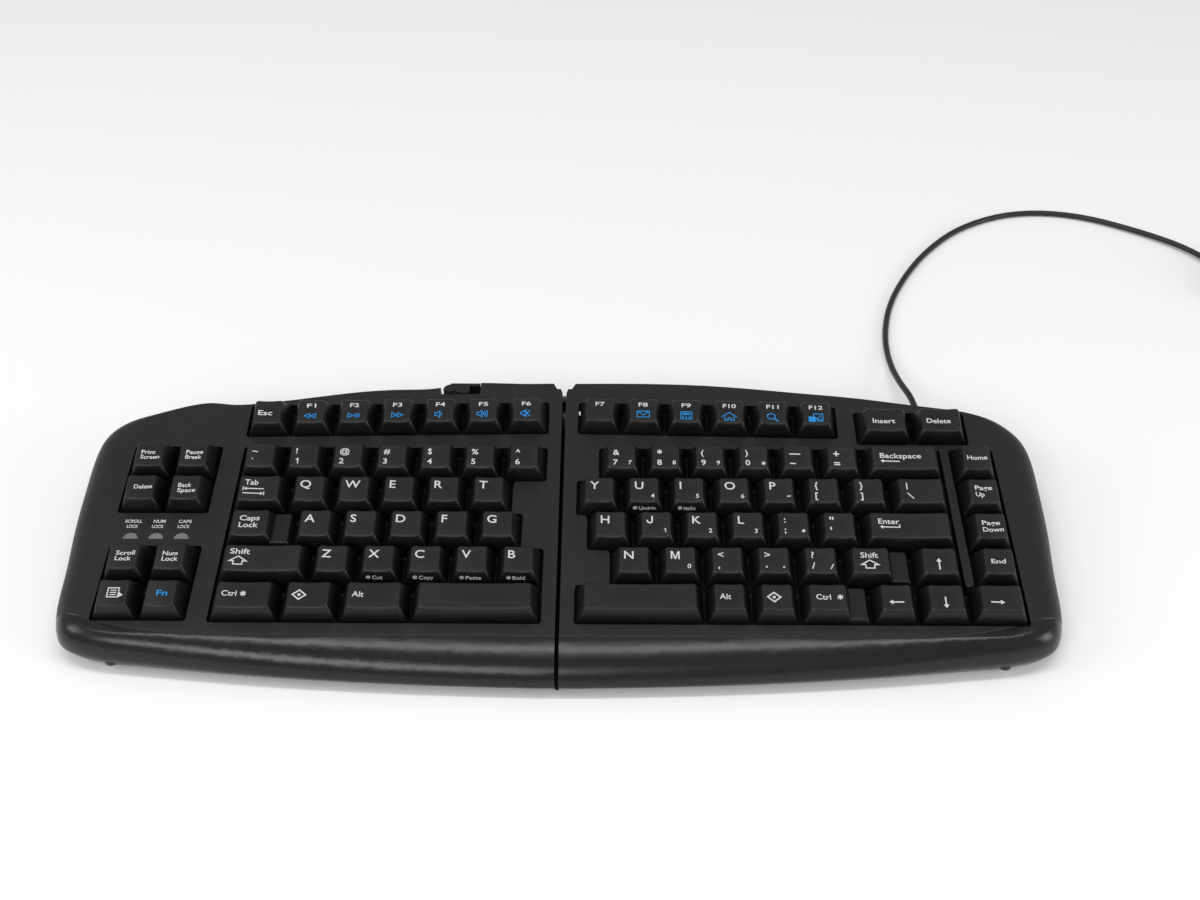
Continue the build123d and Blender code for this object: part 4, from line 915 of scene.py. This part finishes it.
@functools.cache
def key_groups():
    """Caps and white marks of each key node, in the same order, and the blue marks of some."""
    groups = {}

    def add(node, caps, *marks):
        groups[node] = (caps, marks)

    def alt(left, down):
        return [lettering("Alt", left, down, 2.6, 4.6)]

    add("number_keys_left", row_caps(-1, 4, 0, 7),
        *(pair(*signs) for signs in ("~`", "!1", "@2", "#3", "$4", "%5", "^6")))
    add("tab_key", row_caps(-1, 3, 0, 1), tab_marks())
    add("qwert_keys", row_caps(-1, 3, 1, 6), *(letter(text, left=1.8) for text in "QWERT"))
    add("caps_lock_key", row_caps(-1, 2, 0, 1, STEP_WIDTH),
        words("Caps", "Lock", left=3.0, down=2.7, height=2.45, step=3.4, widths=(8.3, 8.0)))
    add("asdfg_keys", row_caps(-1, 2, 1, 6), *(letter(text, left=1.6) for text in "ASDFG"))
    add("left_shift_key", row_caps(-1, 1, 0, 1),
        [lettering("Shift", 2.1, 1.8, 2.6, 8.1), shift_arrow(2.4, 5.5)])
    add("zxcvb_keys", row_caps(-1, 1, 1, 6), letter("Z", left=1.5),
        *(letter(text, under=word, left=1.6) for text, word in zip("XCVB", ("Cut", "Copy", "Paste", "Bold"))))
    add("left_ctrl_key", row_caps(-1, 0, 0, 1),
        [lettering("Ctrl", 2.1, 4.3, 2.5, 6.0), star(10.7, -5.6, 1.25)])
    add("left_os_alt_keys", row_caps(-1, 0, 1, 3), system_sign(), alt(2.0, 4.4))
    add("left_space_key", row_caps(-1, 0, 3, 4), [])
    add("number_keys_right", row_caps(1, 4, 0, 6),
        *(pair(*signs) for signs in ("&77", "*88", "(99", ")0*", "_-", "+=")))
    add("backspace_key", row_caps(1, 4, 6, 7),
        [lettering("Backspace", 3.2, 3.9, 2.5, 17.8)] + arrow(11.6, -8.0, 3.3, -8.0, 0.9, 0.5))
    add("yuiop_keys", row_caps(1, 3, 0, 7), letter("Y"), letter("U", "4", "Undrln"),
        letter("I", "5", "Italic"), letter("O", "6"), letter("P", "-"), pair("{", "[", tall=True),
        pair("}", "]", tall=True))
    add("backslash_key", row_caps(1, 3, 7, 8),
        [stroke([(3.2, -2.1), (3.2, -5.5)], 0.5), stroke([(3.1, -7.2), (5.7, -10.0)], 0.5)])
    add("hjkl_keys", row_caps(1, 2, 0, 6), letter("H"), letter("J", "1"), letter("K", "2"), letter("L", "3"),
        pair(":", ";", "+", True), pair('"', "'", tall=True))
    add("enter_key", row_caps(1, 2, 6, 7),
        [lettering("Enter", 3.2, 3.0, 2.6, 8.8), stroke([(12.0, -5.7), (12.0, -7.1)], 0.5)]
        + arrow(12.25, -7.1, 3.7, -7.1, 0.9, 0.5))
    add("nm_keys", row_caps(1, 1, 0, 5), letter("N"), letter("M", "0"), pair("<", ",", tall=True),
        pair(">", ".", ".", True), pair("?", "/", "/", True))
    add("right_shift_key", row_caps(1, 1, 5, 6, STEP_WIDTH),
        [lettering("Shift", 3.2, 2.2, 2.6, 7.2), shift_arrow(3.4, 5.8)])
    add("right_space_key", row_caps(1, 0, 0, 1), [])
    add("right_alt_os_keys", row_caps(1, 0, 1, 3), alt(1.9, 4.6), system_sign())
    add("right_ctrl_key", row_caps(1, 0, 3, 4, STEP_WIDTH),
        [lettering("Ctrl", 2.3, 4.7, 2.5, 5.9), star(11.9, -6.1, 1.2)])
    last_cap = Cap(RIGHT_EDGE, 0, 23.2, HEIGHTS["bottom"])
    add("arrow_keys", row_caps(1, 1, 6, 7) + row_caps(1, 0, 4, 6) + [last_cap], arrow(6.4, -10.2, 6.4, -4.7),
        arrow(8.6, -8.2, 2.6, -8.2), arrow(6.2, -5.5, 6.2, -10.9), arrow(3.4, -8.0, 9.0, -8.0))
    add("nav_keys", [Cap(NAV_LEFT, row * PITCH, NAV_WIDTH, HEIGHTS[ROWS[row]]) for row in range(1, 5)],
        words("End", left=2.7, down=5.1, widths=(5.9,)),
        words("Page", "Down", left=2.3, down=3.6, height=2.2, step=3.3, widths=(7.5, 8.6)),
        words("Page", "Up", left=2.3, down=3.3, height=2.2, step=3.3, widths=(7.3, 3.7)),
        words("Home", left=1.6, down=4.8, height=2.2, widths=(8.7,)))
    add("insert_delete_keys", [Cap(x, 98.9, 24.4, HEIGHTS["function"]) for x in (130.5, 154.9)],
        words("Insert", left=2.7, down=5.5, height=2.4, widths=(9.9,)),
        words("Delete", left=2.1, down=5.4, height=2.4, widths=(10.6,)))
    add("side_keys_upper", block_caps(-188.3, 57.3),
        words("Delete", left=3.0, down=4.9, widths=(7.9,)),
        words("Back", "Space", left=2.7, down=4.0, widths=(5.6, 7.7)),
        words("Print", "Screen", left=2.1, down=4.0, widths=(6.1, 8.2)),
        words("Pause", "Break", left=2.5, down=3.9, widths=(7.4, 7.0)))
    add("side_keys_lower", block_caps(-187.4, 0.6), menu_sign(), [],
        words("Scroll", "Lock", left=2.6, down=3.6, widths=(7.8, 6.6)),
        words("Num", "Lock", left=2.7, down=3.7, widths=(6.1, 6.6)))
    add("function_keys_left", function_caps(-1), function_label("Esc"),
        *(function_label("F%d" % number) for number in range(1, 7)))
    add("function_keys_right", function_caps(1), *(function_label("F%d" % number) for number in range(7, 13)))
    left_signs = ("rewind", "play", "forward", "quieter", "louder", "mute")
    right_signs = ("mail", "calculator", "house", "search", "screen")
    blue = {
        "function_keys_left": [[]] + [function_sign(kind) for kind in left_signs],
        "function_keys_right": [[]] + [function_sign(kind) for kind in right_signs],
        "side_keys_lower": [[], words("Fn", left=4.1, down=4.6, height=2.6, widths=(4.5,)), [], []],
    }
    return groups, blue


def body_name(node):
    return node.replace("_keys", "").replace("_key", "")


def stick(cap, mark):
    """Lays a mark on the top of a cap: each point takes the height of the top, half the ink's thickness above
    or below it."""
    points, faces = mark
    x = cap.middle - cap.head_x + points[:, 0]
    y = cap.y_rear + points[:, 1]
    return cap.place(np.column_stack([x, y, cap.top(x, y) + points[:, 2] * PRINT_DEPTH])), [faces]


def stick_in_front(cap, mark):
    """Lays a mark on the sloping front face: y of the mark is the way down from the top edge."""
    points, faces = mark
    slant = math.hypot(1.0, FRONT_SLOPE)
    y = cap.y_front + points[:, 1] * FRONT_SLOPE / slant - points[:, 2] * PRINT_DEPTH
    z = cap.front + points[:, 1] / slant
    return cap.place(np.column_stack([cap.middle - cap.head_x + points[:, 0], y, z])), [faces]


def front_word(text):
    return [star(2.0, -3.6, 1.0), lettering(text, 3.6, 2.8, 1.85, FRONT_WORDS[text], 0.012)]


def join_marks(name, caps, marks, material, body):
    """One piece from all marks of a group."""
    parts = []
    for cap, cap_marks in zip(caps, marks):
        for mark in cap_marks:
            if mark[0] is FRONT:
                parts += [stick_in_front(cap, part) for part in front_word(mark[1])]
            else:
                parts.append(stick(cap, mark))
    if parts:
        points, faces = gather(parts)
        piece = add_mesh(name, points, faces, material, smooth=False)
        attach(piece, body)


def build_caps(node, caps):
    """The caps of one node as one piece that stands for it."""
    parts, wear = [], []
    for cap in caps:
        shells = [cap.shell()]
        if cap.stepped:
            ledge = Cap(cap.centre[0] - cap.cell_width / 2, cap.centre[1] - PITCH / 2 + STEP_INSET,
                        cap.cell_width, (STEP_TOP, STEP_TOP), low=cap.middle, depth=PITCH - 2 * STEP_INSET)
            shells.append(ledge.shell())
        posts = cap.posts()
        parts += [shell[:2] for shell in shells] + posts
        wear += [shell[2] for shell in shells] + [np.zeros(len(place)) for place, _ in posts]
    points, faces = gather(parts)
    piece = add_mesh(body_name(node) + "_caps", points, faces, finishes()["Cap plastic"], sharp=50)
    layer = piece.data.attributes.new("wear", "FLOAT", "POINT")
    layer.data.foreach_set("value", np.concatenate(wear).astype(np.float32))
    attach(piece, body_name(node))
    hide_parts(node)
    return piece


def dress(node, name, sharp=32.0):
    """Smooth copy of a CAD node: doubles merged, smooth shading with sharp edges above an angle, and normals
    weighted by the size of the faces, so that large flats stay flat."""
    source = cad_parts[node]
    mesh = source.data.copy()
    mesh.name = node + "_smooth"
    build = bmesh.new()
    build.from_mesh(mesh)
    bmesh.ops.remove_doubles(build, verts=build.verts, dist=0.000002)
    build.to_mesh(mesh)
    build.free()
    mesh.shade_smooth()
    mesh.set_sharp_from_angle(angle=math.radians(sharp))
    mesh.materials.clear()
    mesh.materials.append(finishes()[name])
    piece = bpy.data.objects.new(node + "_shell", mesh)
    bpy.context.scene.collection.objects.link(piece)
    modifier = piece.modifiers.new("Even shading", "WEIGHTED_NORMAL")
    modifier.keep_sharp = True
    modifier.weight = 80
    return piece


def finish_node(node, name):
    """Gives a CAD node that stays its own finish."""
    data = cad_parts[node].data
    data.materials.clear()
    data.materials.append(finishes()[name])


def light(name, place, size, power):
    """Soft rectangular lamp that faces the origin."""
    lamp = bpy.data.lights.new(name, "AREA")
    lamp.shape = "RECTANGLE"
    lamp.size, lamp.size_y = size
    lamp.energy = power
    holder = bpy.data.objects.new(name, lamp)
    turn = (-Vector(place)).to_track_quat("-Z", "Y").to_matrix().to_4x4()
    holder.matrix_world = Matrix.Translation(place) @ turn
    bpy.context.scene.collection.objects.link(holder)


class KEYBOARD_OT_camera(bpy.types.Operator):
    """Camera at the height and angle from which the keyboard is seen"""
    bl_idname = "keyboard.camera"
    bl_label = "Camera"

    def execute(self, context):
        camera = bpy.data.cameras.new("Camera")
        camera.lens = CAMERA_LENS
        camera.sensor_width = CAMERA_SENSOR
        camera.clip_start = 0.01
        holder = bpy.data.objects.new("Camera", camera)
        holder.location = CAMERA_PLACE
        holder.rotation_euler = (math.radians(90 - CAMERA_DOWN), 0, math.radians(CAMERA_TURN))
        context.scene.collection.objects.link(holder)
        context.scene.camera = holder
        return {"FINISHED"}


class KEYBOARD_OT_cable(bpy.types.Operator):
    """Cable from the rear edge to its neat coil, as one smooth curve"""
    bl_idname = "keyboard.cable"
    bl_label = "Cable"

    def execute(self, context):
        points = np.array([CORD_EXIT, *CORD_ROUTE]) + (0, DECK_Y, 0)
        points = np.concatenate([points, self.coil_points()]) * MM
        curve = bpy.data.curves.new("cable", "CURVE")
        curve.dimensions = "3D"
        spline = curve.splines.new("NURBS")
        spline.points.add(len(points) - 1)
        spline.points.foreach_set("co", np.column_stack([points, np.ones(len(points))]).reshape(-1))
        spline.order_u = 3
        spline.use_endpoint_u = True
        spline.resolution_u = 5
        curve.bevel_depth = CORD_DIAMETER / 2
        curve.bevel_resolution = 4
        curve.use_fill_caps = True
        curve.materials.append(finishes()["Cable jacket"])
        piece = bpy.data.objects.new("cable", curve)
        context.scene.collection.objects.link(piece)
        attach(piece, "right_half")
        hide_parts("usb_cable", "cable_coil")
        for node, finish in (("coil_tie", "Tie weave"), ("usb_plug_body", "Plug plastic"),
                             ("usb_plug_shell", "Plug shell steel"), ("strain_relief", "Relief rubber")):
            finish_node(node, finish)
        return {"FINISHED"}

    @staticmethod
    def coil_points():
        """Points of the coil: the angle grows by half a turn per station, and the radius and the height run
        evenly from one station to the next. The radius shrinks in one layer and grows in the next. The end
        bends down to the plug."""
        radii, heights = [], []
        radius, height = COIL_RADIUS, COIL_BASE
        for level in range(COIL_LAYERS):
            for _ in range(COIL_HALF_TURNS):
                radii.append(radius)
                heights.append(height)
                radius += (COIL_PITCH / 2) * (-1 if level % 2 == 0 else 1)
            radii.append(radius)
            heights.append(height)
            height += COIL_PITCH
        count = (len(radii) - 1) * COIL_POINTS
        station = np.arange(1, count + 1) / COIL_POINTS
        reach = np.interp(station, np.arange(len(radii)), radii)
        level = np.interp(station, np.arange(len(heights)), heights)
        angle = math.pi * (1 + station)
        turns = np.column_stack([COIL_CENTRE[0] + reach * np.cos(angle),
                                 COIL_CENTRE[1] + DECK_Y + reach * np.sin(angle), level])
        last = turns[-1]
        drop = last[2] - COIL_END_HEIGHT
        tail = [last + (0, COIL_DROP * share, -drop * fall) for share, fall in COIL_END]
        return np.concatenate([turns, tail])


class KEYBOARD_OT_stage(bpy.types.Operator):
    """Table, soft lamps and pale surroundings"""
    bl_idname = "keyboard.stage"
    bl_label = "Stage"

    def execute(self, context):
        looks = look()
        world = bpy.data.worlds.new("Room")
        context.scene.world = world
        world.use_nodes = True
        back = world.node_tree.nodes["Background"]
        back.inputs["Color"].default_value = (1.0, 1.0, 1.0, 1.0)
        back.inputs["Strength"].default_value = looks.light
        for name, (place, size, power) in LAMPS.items():
            light(name, place, size, power)
        corners = [(x, y, TABLE_LEVEL) for y in (-TABLE_HALF, TABLE_HALF) for x in (-TABLE_HALF, TABLE_HALF)]
        nodes = Nodes("Table")
        nodes.feed(Base_Color=nodes.clouds(1.2, looks.floor_colour, 0.99, 1.0), Roughness=0.85,
                   Specular_IOR_Level=0.1)
        floor = add_mesh("floor", corners, [[[0, 1, 3, 2]]], nodes.material, smooth=False)
        context.scene.view_settings.view_transform = "Standard"
        return {"FINISHED"}


class KEYBOARD_OT_cases(bpy.types.Operator):
    """Upper and lower shells of both halves"""
    bl_idname = "keyboard.cases"
    bl_label = "Cases"

    def execute(self, context):
        for side in ("left", "right"):
            for part in ("top_case", "bottom_case"):
                node = "%s_%s" % (side, part)
                piece = dress(node, "Case plastic")
                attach(piece, side + "_half")
                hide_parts(node)
        # Dark strip in the split: painted shade for the shadow under the keyboard
        self.split_seal()
        return {"FINISHED"}

    @staticmethod
    def split_seal():
        """Painted shade: a thin dark strip on the right half that closes the split from below, so that the lit
        table is not seen through it, standing for the shadow under the keyboard. A half-round edge along Y.
        """
        angles = np.linspace(math.pi / 2, 3 * math.pi / 2, 9)
        radius = SHADE_STRIP_THICK / 2
        wall, lip = SHADE_STRIP_SIDES
        x = np.concatenate([[wall], lip + radius + radius * np.cos(angles), [wall]])
        z = np.concatenate([[radius], radius * np.sin(angles), [-radius]]) + SHADE_STRIP_LEVEL
        stations = np.linspace(*SHADE_STRIP_ENDS, SHADE_STRIP_STATIONS)
        around = len(x)
        shape = (SHADE_STRIP_STATIONS, around)
        rings = np.stack([np.broadcast_to(part, shape) for part in (x, stations[:, None], z)], -1)
        here = np.arange(around)[None, :]
        faces = [ring_quads(SHADE_STRIP_STATIONS, around), here[:, ::-1], here + (SHADE_STRIP_STATIONS - 1) * around]
        piece = add_mesh("split_seal", on_deck(rings), faces, finishes()["Seal rubber"], sharp=40)
        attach(piece, "right_half")


class KEYBOARD_OT_caps(bpy.types.Operator):
    """Key caps with rounded edges and dished tops"""
    bl_idname = "keyboard.caps"
    bl_label = "Key caps"

    def execute(self, context):
        groups, _ = key_groups()
        for node, (caps, _) in groups.items():
            build_caps(node, caps)
        return {"FINISHED"}


class KEYBOARD_OT_prints(bpy.types.Operator):
    """Letters, words and signs on the caps, and the words on the deck"""
    bl_idname = "keyboard.prints"
    bl_label = "Prints"

    def execute(self, context):
        groups, blue = key_groups()
        for node, (caps, marks) in groups.items():
            body = body_name(node)
            join_marks(body + "_prints", caps, marks, finishes()["White ink"], body)
        for node, marks in blue.items():
            body = body_name(node)
            join_marks(body + "_signs", groups[node][0], marks, finishes()["Blue ink"], body)
        self.deck_words()
        return {"FINISHED"}

    @staticmethod
    def deck_words():
        """Two words over each indicator, flat on the deck."""
        parts = []
        for text, x, y, width in DECK_WORDS:
            mark, triangles = lettering(text, 0, 0, DECK_WORD_HEIGHT, width, HEAVY)
            parts.append((on_deck(mark * (1, 1, PRINT_DEPTH) + (x, y, 0)), [triangles]))
        points, faces = gather(parts)
        piece = add_mesh("deck_prints", points, faces, finishes()["White ink"], smooth=False)
        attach(piece, "left_half")


class KEYBOARD_OT_fittings(bpy.types.Operator):
    """Indicators, locking lever, ball joint, feet, screws and the parts inside"""
    bl_idname = "keyboard.fittings"
    bl_label = "Fittings"

    def execute(self, context):
        table = {
            "indicator_lenses": "Lens plastic", "indicator_board": "Board", "controller_board": "Board",
            "ball_socket": "Dark cast", "socket_liner": "Liner plastic", "joint_ball": "Chrome",
            "joint_stud": "Steel", "stud_bracket": "Dark cast", "lock_lever": "Lever plastic",
            "clamp_rod": "Steel",
            "link_cable_left": "Cable jacket", "link_cable_right": "Cable jacket",
        }
        inner = {"key_plate": "Inner plastic", "dome_sheet": "Dome rubber", "sensor_plate": "Membrane",
                 "screws": "Steel", "feet": "Foot rubber"}
        for part, finish in inner.items():
            table["left_" + part] = finish
            table["right_" + part] = finish
        for node, finish in table.items():
            finish_node(node, finish)
        return {"FINISHED"}


class KEYBOARD_PT_panel(bpy.types.Panel):
    """Steps that make the keyboard, in their order"""
    bl_idname = "KEYBOARD_PT_panel"
    bl_label = "Split Keyboard"
    bl_space_type = "VIEW_3D"
    bl_region_type = "UI"
    bl_category = "Keyboard"

    def draw(self, context):
        for name in ("case_colour", "cap_colour", "print_colour", "icon_colour", "lens_colour", "cord_colour",
                     "floor_colour", "grain", "light"):
            self.layout.prop(context.scene.keyboard_look, name)
        for step in STEPS:
            self.layout.operator(step.bl_idname)


STEPS = (KEYBOARD_OT_camera, KEYBOARD_OT_cable, KEYBOARD_OT_stage, KEYBOARD_OT_cases, KEYBOARD_OT_caps,
         KEYBOARD_OT_prints, KEYBOARD_OT_fittings)
CLASSES = (KeyboardLook, *STEPS, KEYBOARD_PT_panel)


def register():
    for kind in CLASSES:
        bpy.utils.register_class(kind)
    bpy.types.Scene.keyboard_look = bpy.props.PointerProperty(type=KeyboardLook)


def unregister():
    del bpy.types.Scene.keyboard_look
    for kind in reversed(CLASSES):
        bpy.utils.unregister_class(kind)


def main():
    """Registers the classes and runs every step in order."""
    register()
    for name in ("camera", "cable", "stage", "cases", "caps", "prints", "fittings"):
        getattr(bpy.ops.keyboard, name)()


if __name__ == "__main__":
    main()
